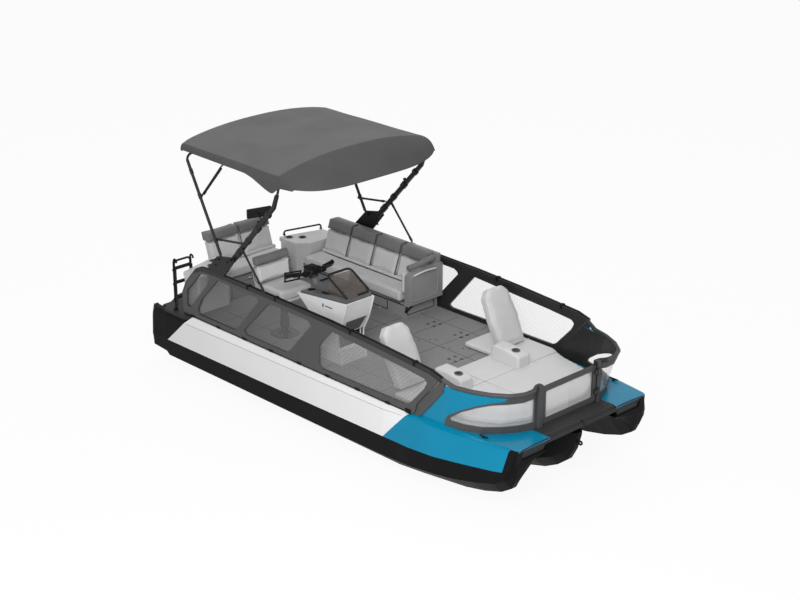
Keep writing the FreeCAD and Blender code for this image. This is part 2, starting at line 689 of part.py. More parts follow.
def bow_corner_port():
    """Port corner, which also carries the two hinge pins of the gate."""
    corner = bow_corner()
    for z in HINGE_LEVELS:
        pin = rod((HINGE_X, HINGE_Y, z - 14), (HINGE_X, HINGE_Y, z + KNUCKLE + 14), 6)
        for low in (z - 14, z + KNUCKLE + 2):
            ear = box(GATE_X + 30, HINGE_X + 4, GATE_HALF + CLEAR, GATE_HALF + 30, low, low + 12)
            eye = rod((HINGE_X, HINGE_Y, low), (HINGE_X, HINGE_Y, low + 12), HINGE_R)
            corner = fused(corner, ear, eye)
        corner = fused(corner, pin)
    return corner


def bow_mesh_piece():
    """Smoked mesh set in the teardrop window."""
    middle = (BOW_WALL_T - MESH_T) / 2
    foot = strip(offset_inward(WALL_FOOT, middle), WALL_LOW_Z, MESH_T)
    rail = strip(offset_inward(WALL_RAIL, middle), WALL_TOP_Z, MESH_T)
    return wall_between(foot, rail, 1).common(teardrop())


RAIL_LINE = lengthwise([(-2070, 1400), (-1960, 1452), (-1840, 1462), (-850, 1460), (293, 1447), (927, 1421),
                        (1385, 1394), (1828, 1366), (1990, 1322)])
FENCE_OUTLINE = [*lengthwise([(-2330, DECK_Z), (-2340, 1030), (-2262, 1190)]), *RAIL_LINE,
                 *lengthwise([(1628, 916), (1612, 830), (1560, DECK_Z)])]
AFT_WINDOWS = [
    [(-1975, 1370), (-1840, 1385), (-1815, 1345), (-1853, 1265), (-2190, 885), (-2262, 905), (-2245, 1090)],
    [(-1650, 1378), (-925, 1366), (-930, 1310), (-1321, 862), (-1395, 842), (-2030, 842), (-2054, 893),
     (-1970, 1050)],
    [(-735, 1356), (-80, 1350), (-10, 1308), (-387, 893), (-455, 850), (-1160, 850), (-1205, 885)],
]
# The forward window is longer on the port side; the starboard fence is solid beside the console.
BOW_WINDOW = [(849, 1303), (1386, 1274), (1745, 1245), (1787, 1208), (1744, 1126), (1535, 900), (1470, 862)]
STARBOARD_WINDOWS = [lengthwise(w) for w in AFT_WINDOWS + [[(325, 1338), *BOW_WINDOW, (160, 845), (111, 882),
                                                            (115, 1098), (145, 1150)]]]
PORT_WINDOWS = [lengthwise(w) for w in AFT_WINDOWS + [[(245, 1338), *BOW_WINDOW, (-110, 846), (-165, 866)]]]


def fence_side(windows=PORT_WINDOWS):
    """Fence with its diagonal members and top rail, built to port."""
    plate = rounded_xz(FENCE_OUTLINE, 30, FENCE_Y - FENCE_T, FENCE_Y)
    cutters = [rounded_xz(w, 22, FENCE_Y - FENCE_T - 40, FENCE_Y + 40) for w in windows]
    rail = prism_xz(RAIL_LINE + [(x, z - FENCE_RAIL_H) for x, z in reversed(RAIL_LINE)],
                    FENCE_Y - FENCE_RAIL_W, FENCE_Y + 6)
    sill_aft, sill_fwd = along(-2325), along(1562)
    sill = box(sill_aft, sill_fwd, FENCE_Y - FENCE_T - 10, FENCE_Y, DECK_Z, DECK_Z + SILL_H)
    return fused(plate, rail, sill).cut(Part.makeCompound(cutters))


def fences():
    return Part.makeCompound([fence_side(), mirrored(fence_side(STARBOARD_WINDOWS))])


def fence_mesh():
    """Smoked mesh panels of both fences and both bow corners."""
    y0 = FENCE_Y - FENCE_T / 2 - MESH_T / 2
    port = [rounded_xz(w, 22, y0, y0 + MESH_T) for w in PORT_WINDOWS]
    starboard = [mirrored(rounded_xz(w, 22, y0, y0 + MESH_T)) for w in STARBOARD_WINDOWS]
    return Part.makeCompound(port + starboard + [both_sides(bow_mesh_piece())])


def shroud_top():
    """Coloured deck plate of one bow shroud."""
    outer = [(s[0], s[8] - 2) for s in STATIONS if s[0] > along(1560)] + [(BOW_X, BOW_TIP[8] - 4)]
    inner = [(x + 4, y + 4) for x, y in reversed(FLOOR_EDGE[2:])]
    plan = [(PANEL_BOW_TOP + 40, FENCE_Y - FENCE_T - 14), *outer, (BOW_X, BOW_STEP_HALF),
            (BOW_STEP_AFT, BOW_STEP_HALF), (BOW_STEP_AFT, BOW_STEP_HALF - 56), *inner]
    return prism_xy(plan, DECK_Z - SHROUD_T, DECK_Z + 3).cut(deck_frame())


def bow_shrouds():
    """Coloured bow shrouds: hull side, top deck and the aft part of the bow wall."""
    wall = bow_wall().common(prism_xz(SHROUD_WALL, 0, FAR_Y)).cut(teardrop())
    wall = wall.cut(bow_rail()).cut(fence_side())
    return both_sides(fused(SHROUD_SIDE, shroud_top(), wall))


def gate_frame():
    """Gate frame with two hinge knuckles at its port edge."""
    low, high, half = GATE_LOW, GATE_TOP, GATE_HALF
    x0 = GATE_X - GATE_T / 2
    place = lambda a, b: V(x0, a, b)
    outer = [(-half, low), (half, low), (half, high), (-half, high)]
    inner = [(-half + GATE_BAR, low + GATE_BAR), (half - GATE_BAR, low + GATE_BAR),
             (half - GATE_BAR, high - GATE_BAR), (-half + GATE_BAR, high - GATE_BAR)]
    frame = rounded_face(outer, 18, place).extrude(V(GATE_T, 0, 0))
    frame = frame.cut(rounded_face(inner, 20, place).extrude(V(GATE_T, 0, 0)))
    for z in HINGE_LEVELS:
        leaf = box(GATE_X + GATE_T / 2, HINGE_X, half - 32, half - 4, z + 1, z + KNUCKLE - 1)
        knuckle = rod((HINGE_X, HINGE_Y, z + 1), (HINGE_X, HINGE_Y, z + KNUCKLE - 1), HINGE_R)
        arm = box(HINGE_X - 6, HINGE_X + 6, half - 10, HINGE_Y, z + 1, z + KNUCKLE - 1)
        frame = fused(frame, leaf, knuckle, arm)
        frame = frame.cut(rod((HINGE_X, HINGE_Y, z), (HINGE_X, HINGE_Y, z + KNUCKLE), 6 + PIN_FIT))
    return frame


def gate_mesh():
    half = GATE_HALF - GATE_BAR
    outline = [(-half, GATE_LOW + GATE_BAR), (half, GATE_LOW + GATE_BAR), (half, GATE_TOP - GATE_BAR),
               (-half, GATE_TOP - GATE_BAR)]
    place = lambda a, b: V(GATE_X - MESH_T / 2, a, b)
    return rounded_face(outline, 20, place).extrude(V(MESH_T, 0, 0))


def bow_pads():
    """Flat sun pads of the bow, with the longer port leg."""
    z0, z1 = FLOOR_Z, PAD_TOP
    edge = inboard([(1560, 170), (1755, 260), (2155, 340), (2440, 510), (2590, 815)])
    side_y = SIDE_Y - 170
    outline = [(PAD_AFT_X, -side_y), *[(x, -y) for x, y in edge], *reversed(edge), (PAD_LEG_X, side_y),
               (PAD_LEG_X, PAD_LEG_Y), (PAD_AFT_X, PAD_LEG_Y)]
    pad = rounded_xy(outline, 35, z0, z1)
    seam_x, seam_z = along(1650), z1 - 8
    seams = [
        box(PAD_AFT_X - 1, PAD_FWD_X + 1, -150, -150 + PAD_SEAM, seam_z, z1 + 1),
        box(seam_x, seam_x + PAD_SEAM, -SIDE_Y, SIDE_Y, seam_z, z1 + 1),
        box(PAD_AFT_X, PAD_AFT_X + PAD_SEAM, PAD_LEG_Y, SIDE_Y, seam_z, z1 + 1),
    ]
    return pad.cut(Part.makeCompound(seams))


def bow_backrest(y_mid, width):
    """Leaning padded back with clipped top corners."""
    foot_x = BACKREST_FOOT_X
    top_x = foot_x - 310
    z0, z1 = PAD_TOP, 1475
    lean = math.atan2(foot_x - top_x, z1 - z0)
    height = (z1 - z0) / math.cos(lean)
    half = width / 2
    outline = [(-half * 0.86, -60), (half * 0.86, -60), (half, height * 0.45), (half * 0.86, height - 90),
               (half * 0.5, height), (-half * 0.5, height), (-half * 0.86, height - 90), (-half, height * 0.45)]
    slab = rounded_face(outline, 60, lambda a, b: V(0, a, b)).extrude(V(BACKREST_T, 0, 0))
    slab.rotate(V(0, 0, 0), Y_AXIS, -math.degrees(lean))
    slab.translate(V(foot_x - BACKREST_T, y_mid, z0))
    return slab.cut(box(foot_x - 700, foot_x + 300, y_mid - 400, y_mid + 400, z0 - 200, z0 + SEAT_GAP))


def bow_backrests():
    return Part.makeCompound([bow_backrest(SIDE_Y - 480, BACKREST_W), bow_backrest(445 - SIDE_Y, BACKREST_W)])


def armrest(y_mid):
    """Moulded armrest whose top slopes down towards the bow, with a cup holder."""
    x0, z0 = ARMREST_AFT_X, PAD_TOP
    top = z0 + ARMREST_H
    profile = [(x0, z0), (x0 + ARMREST_L, z0), (x0 + ARMREST_L, top - 48), (x0 + ARMREST_L - 40, top - 26),
               (x0 + 190, top), (x0 + 35, top), (x0, top - 45)]
    solid = prism_xz(profile, y_mid - ARMREST_W / 2, y_mid + ARMREST_W / 2)
    solid = solid.makeFillet(26, [e for e in solid.Edges if e.BoundBox.ZMax > z0 + 1])
    cup_x = x0 + 290
    return solid.cut(rod((cup_x, y_mid, top + 1), (cup_x, y_mid, top - 14 - CUP_DEPTH), CUP_R))


def bow_armrests():
    return Part.makeCompound([armrest(SIDE_Y - 815), armrest(780 - SIDE_Y)])


def lounge_base():
    """Moulded base under the port lounge, with the plinth, seat pan and outboard ledge."""
    z_lid = SEAT_TOP - SEAT_PAD_T - LID_T - SEAT_GAP
    aft, fwd = LOUNGE_AFT_X, LOUNGE_FWD_X
    pan_z, end_z = 960, 985
    plinth = box(aft, fwd + 10, BASE_IN_Y, LOUNGE_WALL_Y - 5, FLOOR_Z, pan_z)
    upper = box(aft, fwd + 40, BASE_IN_Y - 6, LOUNGE_WALL_Y, pan_z, z_lid)
    ledge = box(aft, fwd + 40, BACK_LOW_Y + 30, LOUNGE_WALL_Y, z_lid, SEAT_TOP)
    end_in = LOUNGE_FRONT_Y + 20
    end = prism_yz([(end_in, end_z), (LOUNGE_WALL_Y, end_z), (LOUNGE_WALL_Y, 1400), (end_in + 80, 1400),
                    (end_in, 1360)], fwd + 40, fwd + 95)
    slot = box(fwd - 260, fwd - 60, BASE_IN_Y - 10, BASE_IN_Y + 14, z_lid - 32, z_lid - 12)
    return fused(plinth, upper, ledge, end, lounge_shell()).cut(slot)


def back_profile(z0, z1, shift=0):
    """Section of the lounge back between two levels, leaning outboard."""
    slope = (BACK_TOP_Y - BACK_LOW_Y) / (BACK_TOP_Z - SEAT_TOP)
    y0 = BACK_LOW_Y + slope * (z0 - SEAT_TOP) - shift
    y1 = BACK_LOW_Y + slope * (z1 - SEAT_TOP) - shift
    return [(y0, z0), (y0 + BACK_T + shift, z0), (y1 + BACK_T + shift, z1), (y1, z1)]


def segments(aft, fwd, count):
    width = (fwd - aft - SEAM * (count - 1)) / count
    return [(aft + i * (width + SEAM), aft + i * (width + SEAM) + width) for i in range(count)]


def lounge_back():
    """Light back cushions, one for each segment."""
    pieces = []
    for x0, x1 in segments(LOUNGE_AFT_X, LOUNGE_FWD_X - 20, LOUNGE_SEGMENTS):
        pieces.append(prism_yz(back_profile(SEAT_TOP + SEAT_GAP, BACK_SPLIT_Z), x0, x1))
    pieces.append(lounge_pillar())
    return Part.makeCompound(pieces)


def lounge_shell():
    """Moulded shell that the back cushions lean on."""
    low = back_profile(SEAT_TOP, BACK_TOP_Z - 20)
    out = [low[1], (SHELL_OUT_Y, low[1][1]), (SHELL_OUT_Y, low[2][1]), low[2]]
    return prism_yz(out, LOUNGE_AFT_X, LOUNGE_FWD_X + 40)


def lounge_bolster():
    """Dark headroll along the back and round the forward arm."""
    pieces = []
    spans = segments(LOUNGE_AFT_X, LOUNGE_FWD_X - 20, LOUNGE_SEGMENTS)
    for x0, x1 in spans:
        roll = prism_yz(back_profile(BACK_SPLIT_Z + SEAT_GAP, BACK_TOP_Z, 14), x0, x1)
        pieces.append(roll)
    arm_z = 1460
    y = LOUNGE_FRONT_Y
    route = [(LOUNGE_FWD_X + 48, y + 60, arm_z - 18), (LOUNGE_FWD_X + 62, y + 260, arm_z),
             (LOUNGE_FWD_X + 50, y + 490, arm_z + 22)]
    pieces.append(tube(route, 42, 300))
    return Part.makeCompound(pieces)


def lounge_pillar():
    """Light pillar at the forward end of the lounge."""
    y0 = LOUNGE_FRONT_Y + 8
    return box(LOUNGE_FWD_X - 14, LOUNGE_FWD_X + 40 - SLIDE_FIT, y0, y0 + 92, SEAT_TOP + 2, BACK_SPLIT_Z + 3)


def seat_edges(pad):
    """The top and upright edges of a seat pad, which are rounded."""
    return [e for e in pad.Edges if e.BoundBox.ZMin > SEAT_TOP - 1 or e.BoundBox.ZLength > SEAT_R]


def lounge_seat():
    """Hinged seat of the lounge: cushion on a thin lid."""
    x0, x1 = LOUNGE_AFT_X + CLEAR, LOUNGE_FWD_X - 14 - CLEAR
    y0, y1 = LOUNGE_FRONT_Y, BACK_LOW_Y - CLEAR
    low = SEAT_TOP - SEAT_PAD_T
    pad = box(x0, x1, y0, y1, low, SEAT_TOP)
    pad = pad.makeFillet(SEAT_R, seat_edges(pad))
    return fused(pad, box(x0 + 15, x1 - 15, y0 + 25, y1 - 15, low - LID_T, low))


def corner_table(side):
    """White moulded corner unit with two cup holders, aft of the lounge."""
    inner_y = BENCH_HALF + CLEAR
    fwd = LOUNGE_AFT_X - CLEAR
    plan = [(fwd, inner_y + 134), (fwd, TABLE_OUT_Y), (along(-2385), TABLE_OUT_Y), (along(-2550), inner_y),
            (along(-2225), inner_y)]
    top = rounded_xy(plan, 30, TABLE_Z - 45, TABLE_Z)
    mid = V(along(-2300), (inner_y + TABLE_OUT_Y) / 2 + 44, 0)
    foot_plan = [(mid.x + (x - mid.x) * 0.95, mid.y + (y - mid.y) * 0.95) for x, y in plan]
    foot = rounded_xy(foot_plan, 24, STERN_DECK_Z + STERN_DECK_T, TABLE_Z - 45)
    foot = foot.cut(box(STERN_DECK_FWD - 2, 0, 0, FAR_Y, 0, FLOOR_Z))
    cups = []
    for cx, cy in TABLE_CUPS:
        cups.append(rod((cx, cy, TABLE_Z + 1), (cx, cy, TABLE_Z - CUP_DEPTH), CUP_R))
    unit = fused(top, foot).cut(Part.makeCompound(cups))
    return unit if side > 0 else mirrored(unit)


def corner_tables():
    return Part.makeCompound([corner_table(1), corner_table(-1)])


def aft_base():
    """Moulded base of the stern bench, with a recessed foot and the ledge behind the seat."""
    z_lid = SEAT_TOP - SEAT_PAD_T - LID_T - SEAT_GAP
    half = BENCH_HALF - 4
    back_x = BENCH_BACK_X - 70
    foot = box(back_x + 20, BENCH_FRONT_X + 70, -half + 30, half - 30, STERN_DECK_Z + STERN_DECK_T, z_lid - 60)
    top = box(back_x, BENCH_FRONT_X, -half, half, z_lid - 60, z_lid)
    ledge = box(back_x, BENCH_BACK_X - 30, -half, half, z_lid, SEAT_TOP)
    slot = box(BENCH_FRONT_X - 12, BENCH_FRONT_X + 5, -110, 90, z_lid - 36, z_lid - 16)
    return fused(foot, top, ledge).cut(slot)


def aft_back_profile(z0, z1, shift=0):
    lean = 0.36
    a = BENCH_BACK_X - lean * (z0 - SEAT_TOP) + shift
    b = BENCH_BACK_X - lean * (z1 - SEAT_TOP) + shift
    return [(a, z0), (a - 110 - shift, z0), (b - 110 - shift, z1), (b, z1)]


def aft_back():
    pieces = []
    for y0, y1 in segments(-BENCH_HALF + 6, BENCH_HALF - 6, 2):
        pieces.append(prism_xz(aft_back_profile(SEAT_TOP + SEAT_GAP, BACK_SPLIT_Z), y0, y1))
    return Part.makeCompound(pieces)


def aft_bolster():
    pieces = []
    for y0, y1 in segments(-BENCH_HALF + 6, BENCH_HALF - 6, 2):
        pieces.append(prism_xz(aft_back_profile(BACK_SPLIT_Z + SEAT_GAP, BACK_TOP_Z - 12, 14), y0, y1))
    return Part.makeCompound(pieces)


def aft_seat():
    """Hinged seat of the stern bench."""
    x0, x1 = BENCH_BACK_X + 4, BENCH_FRONT_X + 30
    half = BENCH_HALF - 14
    pad = box(x0, x1, -half, half, SEAT_TOP - SEAT_PAD_T, SEAT_TOP)
    pad = pad.makeFillet(SEAT_R, seat_edges(pad))
    lid = box(x0 + 15, x1 - 30, -half + 15, half - 15, SEAT_TOP - SEAT_PAD_T - LID_T, SEAT_TOP - SEAT_PAD_T)
    return fused(pad, lid)


def stern_rail():
    """Grab rail along the aft edge of the port corner unit, its feet standing in the unit's top."""
    low, high = TABLE_Z - 22, TABLE_Z + 42
    (inner_x, inner_y), (outer_x, outer_y) = (along(-2572), BENCH_HALF + 125), (along(-2428), TABLE_OUT_Y + 6)
    route = [(inner_x + 92, inner_y + 25, low), (inner_x, inner_y, low), (inner_x, inner_y, high),
             (outer_x, outer_y, high + 10), (outer_x, outer_y, low), (outer_x + 68, outer_y - 32, low)]
    return tube(route, 11, 30).cut(corner_table(1))


def helm_pedestal():
    half = HELM_PLATE / 2
    c = half * 0.55
    plan = [(half, -c), (half, c), (c, half), (-c, half), (-half, c), (-half, -c), (-c, -half), (c, -half)]
    plate = prism_xy([(HELM_X + a, HELM_Y + b) for a, b in plan], FLOOR_Z, FLOOR_Z + HELM_PLATE_T)
    column = rod((HELM_X, HELM_Y, FLOOR_Z), (HELM_X, HELM_Y, HELM_SEAT_Z - 40 - SEAT_GAP), COLUMN_R)
    spindle = rod((HELM_X, HELM_Y, HELM_SEAT_Z - 60), (HELM_X, HELM_Y, HELM_SEAT_Z - 6), 20)
    return fused(plate, column, spindle)


def helm_shell():
    """Moulded seat shell with its back and swivel plate."""
    x, y, z = HELM_X, HELM_Y, HELM_SEAT_Z
    plate = rounded_xy([(x - 120, y - 110), (x + 120, y - 110), (x + 120, y + 110), (x - 120, y + 110)], 30,
                       z - 40, z - 5)
    pan = rounded_xy([(x - 235, y - 225), (x + 240, y - 225), (x + 240, y + 225), (x - 235, y + 225)], 60,
                     z - 6, z + 16)
    back = rounded_xz([(x - 190, z - 5), (x - 262, z + 60), (x - 335, z + 340), (x - 318, z + 392),
                       (x - 282, z + 392), (x - 266, z + 320), (x - 216, z + 128), (x - 150, z + 16)],
                      10, y - 205, y + 205)
    swivel = rod((x, y, z - 61), (x, y, z - 5), 20 + PIN_FIT)
    return fused(plate, pan, back).cut(swivel)


def helm_cushion():
    """Light seat pad and back pad."""
    x, y, z = HELM_X, HELM_Y, HELM_SEAT_Z + 16 + SEAT_GAP
    seat = box(x - 140, x + HELM_HALF, y - HELM_HALF, y + HELM_HALF, z, z + HELM_CUSHION_T)
    seat = seat.makeFillet(35, [e for e in seat.Edges if e.BoundBox.ZMax > z + 2])
    low = z + HELM_CUSHION_T + SEAT_GAP
    back = prism_xz([(x - 142, low), (x - 212, low), (x - 258, z + HELM_BACK_H), (x - 172, z + HELM_BACK_H)],
                    y - HELM_HALF, y + HELM_HALF)
    return Part.makeCompound([seat, back])


def helm_headroll():
    """Dark roll on top of the helm seat's back."""
    x, y, z = HELM_X, HELM_Y, HELM_SEAT_Z + 16 + HELM_BACK_H + 2 * SEAT_GAP
    return rounded_xz([(x - 170, z), (x - 256, z), (x - 272, z + 82), (x - 250, z + 108), (x - 200, z + 104),
                       (x - 170, z + 72)], 24, y - HELM_HALF, y + HELM_HALF)


def console_top(x):
    """Height of the console's top above a place along the boat."""
    slope = (CONSOLE_TOP_FWD_Z - CONSOLE_TOP_AFT_Z) / (CONSOLE_TOP_FWD_X - CONSOLE_TOP_AFT_X)
    return CONSOLE_TOP_AFT_Z + slope * (x - CONSOLE_TOP_AFT_X)


def console_body():
    """White moulded console, wide at the top and narrow at the foot."""
    y0, y1 = CONSOLE_OUT_Y, CONSOLE_IN_Y
    aft, fwd = CONSOLE_TOP_AFT_X, CONSOLE_TOP_FWD_X
    waist = 1150
    upper = prism_xz([(aft, CONSOLE_TOP_AFT_Z), (fwd, CONSOLE_TOP_FWD_Z), (fwd - 60, 1330), (fwd - 155, waist),
                      (aft + 305, waist), (aft + 190, 1320)], y0, y1)
    foot = box(CONSOLE_FOOT_AFT_X, CONSOLE_FOOT_FWD_X - 60, y0 + 45, y1 - 40, FLOOR_Z, waist + 2)
    step = box(CONSOLE_FOOT_AFT_X, CONSOLE_FOOT_FWD_X, y0 + 25, y1, FLOOR_Z, 955)
    slot = box(aft + 460, aft + 580, y0 - 1, y0 + 12, 1452, 1462)
    return fused(upper, foot, step).cut(slot)


def console_dash():
    """Dark dash moulding inside the console's rim, higher towards the bow, with a hood and a cup holder."""
    y0, y1 = CONSOLE_OUT_Y + DASH_RIM, CONSOLE_IN_Y - DASH_RIM
    aft, fwd = CONSOLE_TOP_AFT_X + DASH_RIM, CONSOLE_TOP_FWD_X - DASH_RIM / 2
    low = console_top
    outline = [(aft, low(aft)), (fwd, low(fwd)), (fwd - 10, low(fwd) + 52), (fwd - 230, low(fwd - 230) + 62),
               (aft + 320, low(aft + 320) + 40), (aft, low(aft) + 26)]
    dash = rounded_xz(outline, 12, y0, y1)
    cup_x, cup_y = aft + 95, y0 + 85
    cup = rod((cup_x, cup_y, 1600), (cup_x, cup_y, 1600 - 2 * CUP_DEPTH), CUP_R)
    hood = prism_xz([(aft + 40, low(aft + 40) + 20), (fwd - 240, low(fwd - 240) + 40),
                     (fwd - 330, low(fwd - 330) + 120), (aft + 180, low(aft + 180) + 128)], y0 + 130, y1 - 40)
    foot = V(STEER_X, STEER_Y, STEER_Z)
    axis = steer_axis()
    collar = Part.makeCylinder(42, 90, foot - axis * 100, axis)
    bore = Part.makeCylinder(STEER_COLUMN_R + PIN_FIT, 200, foot - axis * 150, axis)
    dash = fused(dash, hood, collar).cut(cup)
    return dash.cut(bore).cut(console_body())


def steer_axis():
    lean = math.radians(STEER_LEAN)
    return V(-math.sin(lean), 0, math.cos(lean))


def handlebar():
    """Column, padded hub and a swept bar with two grips."""
    axis = steer_axis()
    foot = V(STEER_X, STEER_Y, STEER_Z)
    column = Part.makeCylinder(STEER_COLUMN_R, 150, foot - axis * 60, axis)
    hub = Part.makeCylinder(58, 95, foot - axis * (10 - CLEAR), axis)
    top = foot + axis * 75
    cx, cy, cz = top.x, top.y, top.z
    route = [(cx - 40, cy - BAR_HALF, cz + 6), (cx + 10, cy - 150, cz), (cx + 14, cy + 150, cz),
             (cx - 40, cy + BAR_HALF, cz + 6)]
    bar = tube(route, BAR_R, 60)
    cap = Part.makeBox(150, 170, 60, V(cx - 60, cy - 85, cz - 20))
    cap = cap.makeFillet(22, cap.Edges)
    levers = []
    for side in (1, -1):
        levers.append(rod((cx + 52, cy + side * 120, cz - 2), (cx + 20, cy + side * 290, cz), 8))
        levers.append(rod((cx + 10, cy + side * 125, cz), (cx + 52, cy + side * 120, cz - 2), 9))
    return fused(column, hub, bar, cap, *levers)


def windscreen():
    """Tinted screen leaning aft over the dash, with its two side wings."""
    y0, y1 = CONSOLE_OUT_Y + 2 * DASH_RIM, CONSOLE_IN_Y - 2 * DASH_RIM
    base_x, base_z = SCREEN_FOOT[0], SCREEN_FOOT[1] - 16
    top_x, top_z = SCREEN_TOP[0] + 30, SCREEN_TOP[1] - 18
    front = prism_xz([(base_x, base_z), (base_x + 4, base_z + 5), (top_x + 4, top_z + 5), (top_x, top_z)],
                     y0, y1)
    wing = [(base_x - 4, base_z - 2), (top_x, top_z), (top_x - 30, 1640), (base_x - 242, 1598)]
    wings = [prism_xz(wing, ya, ya + SCREEN_T) for ya in (y0, y1 - SCREEN_T)]
    return fused(front, *wings).cut(console_dash()).cut(screen_rail())


def screen_rail():
    """Black tube that frames the screen."""
    y0, y1 = CONSOLE_OUT_Y + DASH_RIM + RAIL_R, CONSOLE_IN_Y - DASH_RIM - RAIL_R
    (foot_x, foot_z), (top_x, top_z) = SCREEN_FOOT, SCREEN_TOP
    route = [(foot_x, y0, foot_z), (top_x, y0, top_z), (top_x, y1, top_z), (foot_x, y1, foot_z),
             (foot_x, (y0 + y1) / 2, foot_z)]
    return tube(route, RAIL_R, 50)


def rail_z(x):
    """Height of the fence rail's top above a point along the boat."""
    for (xa, za), (xb, zb) in zip(RAIL_LINE, RAIL_LINE[1:]):
        if xa <= x <= xb:
            return za + (zb - za) * (x - xa) / (xb - xa)
    return RAIL_Z


def bimini_brackets():
    """Wedge-shaped feet on the fence rails, with the pivot pins of the main and aft bows."""
    y1 = BRACKET_OUT_Y
    y0 = y1 - BRACKET_T
    aft_x, fwd_x = along(-1840), along(-1520)
    tip = lengthwise([(-1318, 1698), (-1345, 1735), (-1420, 1726), (-1628, 1682)])
    wedge = prism_xz([(aft_x, rail_z(aft_x)), (fwd_x, rail_z(fwd_x)), *tip], y0, y1)
    arm_pin = rod((ARM_FOOT[0], ARM_OUT_Y - ARM_T, ARM_FOOT[1]), (ARM_FOOT[0], y0 + 2, ARM_FOOT[1]), ARM_PIN_R)
    aft_pin = rod((AFT_FOOT[0], ARM_OUT_Y - 2 * TUBE_R, AFT_FOOT[1]), (AFT_FOOT[0], y0 + 2, AFT_FOOT[1]), 8)
    foot_x, foot_z = STAY_FOOT
    shoe = box(foot_x - 40, foot_x + 40, STAY_Y - 12, STAY_Y + 12, rail_z(foot_x) - 2, foot_z - STAY_GAP)
    shoe = shoe.cut(fence_side())
    return both_sides(Part.makeCompound([fused(wedge, arm_pin, aft_pin), shoe]))


STAY_Y = ARM_OUT_Y + BRACE_R + CLEAR


def arm_piece():
    """Flat thick arm, port side, from its foot to the canopy corner."""
    y0 = ARM_OUT_Y - ARM_T
    run = V(ARM_BEND[0] - ARM_FOOT[0], 0, ARM_BEND[1] - ARM_FOOT[1]).normalize()
    side = V(-run.z, 0, run.x) * (ARM_W / 2)
    foot = V(ARM_FOOT[0], 0, ARM_FOOT[1]) - run * 40
    bend = V(ARM_BEND[0], 0, ARM_BEND[1])
    top = V(ARM_TOP[0], 0, ARM_TOP[1])
    tip = V(ARM_W * 0.34, 0, 0)
    outline = [foot - side, bend - side * 0.8, top + tip, top - tip, bend + side * 0.8, foot + side]
    arm = rounded_xz([(p.x, p.z) for p in outline], 18, y0, ARM_OUT_Y)
    foot_x, foot_z = ARM_FOOT
    hole = rod((foot_x, y0 - 1, foot_z), (foot_x, ARM_OUT_Y + 1, foot_z), ARM_PIN_R + PIN_FIT)
    stay_pin = rod((STAY_TOP[0], ARM_OUT_Y - 2, STAY_TOP[1]), (STAY_TOP[0], STAY_Y + 10, STAY_TOP[1]), 5)
    return fused(arm.cut(hole), stay_pin)


def bimini_main():
    """Main bow: two flat arms joined by the front cross tube."""
    arm = arm_piece()
    x, y, z = ARM_TOP[0], ARM_OUT_Y - ARM_T / 2, ARM_TOP[1] - TUBE_R
    flat = CANOPY_ROWS[1]
    peak = roof_z(x, flat) - CANOPY_T - TUBE_R * 1.03
    half = [(x, y, z), (x, y - 25, z + 80), (x, CANOPY_RIDGE_Y - 28, 2846), (x, flat, peak)]
    cross = tube(half + [(px, -py, pz) for px, py, pz in reversed(half)], TUBE_R, 60)
    return fused(arm, mirrored(arm), cross)


def bimini_stays():
    """Two thin stays from the arms down to the fence rails."""
    stay = rod((STAY_TOP[0], STAY_Y, STAY_TOP[1]), (STAY_FOOT[0], STAY_Y, STAY_FOOT[1]), BRACE_R)
    eye = rod((STAY_TOP[0], STAY_Y - 10, STAY_TOP[1]), (STAY_TOP[0], STAY_Y + 10, STAY_TOP[1]), 14)
    hole = rod((STAY_TOP[0], STAY_Y - 20, STAY_TOP[1]), (STAY_TOP[0], STAY_Y + 20, STAY_TOP[1]), 5 + PIN_FIT)
    return both_sides(fused(stay, eye).cut(hole))


def bow_tube(foot, top, y, radius, bend):
    """Bow with upright sides from foot to top, crowned to lie just under the canopy's roof."""
    touch_y = CANOPY_ROWS[1]
    flat = touch_y + bend * 0.04
    peak = roof_z(top[0], touch_y) - CANOPY_T - radius * 1.03
    return tube([(foot[0], y, foot[1]), (top[0], y, top[1]), (top[0], flat, peak), (top[0], -flat, peak),
                 (top[0], -y, top[1]), (foot[0], -y, foot[1])], radius, bend)


def bimini_aft():
    """Aft bow: two struts joined by a cross tube under the canopy's aft edge."""
    y = ARM_OUT_Y - TUBE_R
    bow = bow_tube(AFT_FOOT, AFT_TOP, y, TUBE_R, 90)
    for s in (1, -1):
        eye = rod((AFT_FOOT[0], s * (y - 16), AFT_FOOT[1]), (AFT_FOOT[0], s * (y + 16), AFT_FOOT[1]), 18)
        bow = fused(bow, eye)
    for s in (1, -1):
        bow = bow.cut(rod((AFT_FOOT[0], s * (y - 20), AFT_FOOT[1]), (AFT_FOOT[0], s * (y + 20), AFT_FOOT[1]),
                          8 + PIN_FIT))
        for px, pz in (MID_PIVOT, LINK_AFT):
            bow = fused(bow, rod((px, s * y, pz), (px, s * (INNER_Y - BRACE_R), pz), 5))
    return bow


INNER_Y = ARM_OUT_Y - ARM_T - CLEAR - BRACE_R


def bimini_mid():
    """Middle bow on its two short braces, hinged on the aft struts."""
    bow = bow_tube(MID_PIVOT, MID_TOP, INNER_Y, BRACE_R, 90)
    for s in (1, -1):
        y0, y1 = s * (INNER_Y - 10), s * (INNER_Y + 10)
        bow = fused(bow, rod((MID_PIVOT[0], y0, MID_PIVOT[1]), (MID_PIVOT[0], y1, MID_PIVOT[1]), 14))
    for s in (1, -1):
        bow = bow.cut(rod((MID_PIVOT[0], s * (INNER_Y - 20), MID_PIVOT[1]),
                          (MID_PIVOT[0], s * (INNER_Y + 20), MID_PIVOT[1]), 5 + PIN_FIT))
    return bow


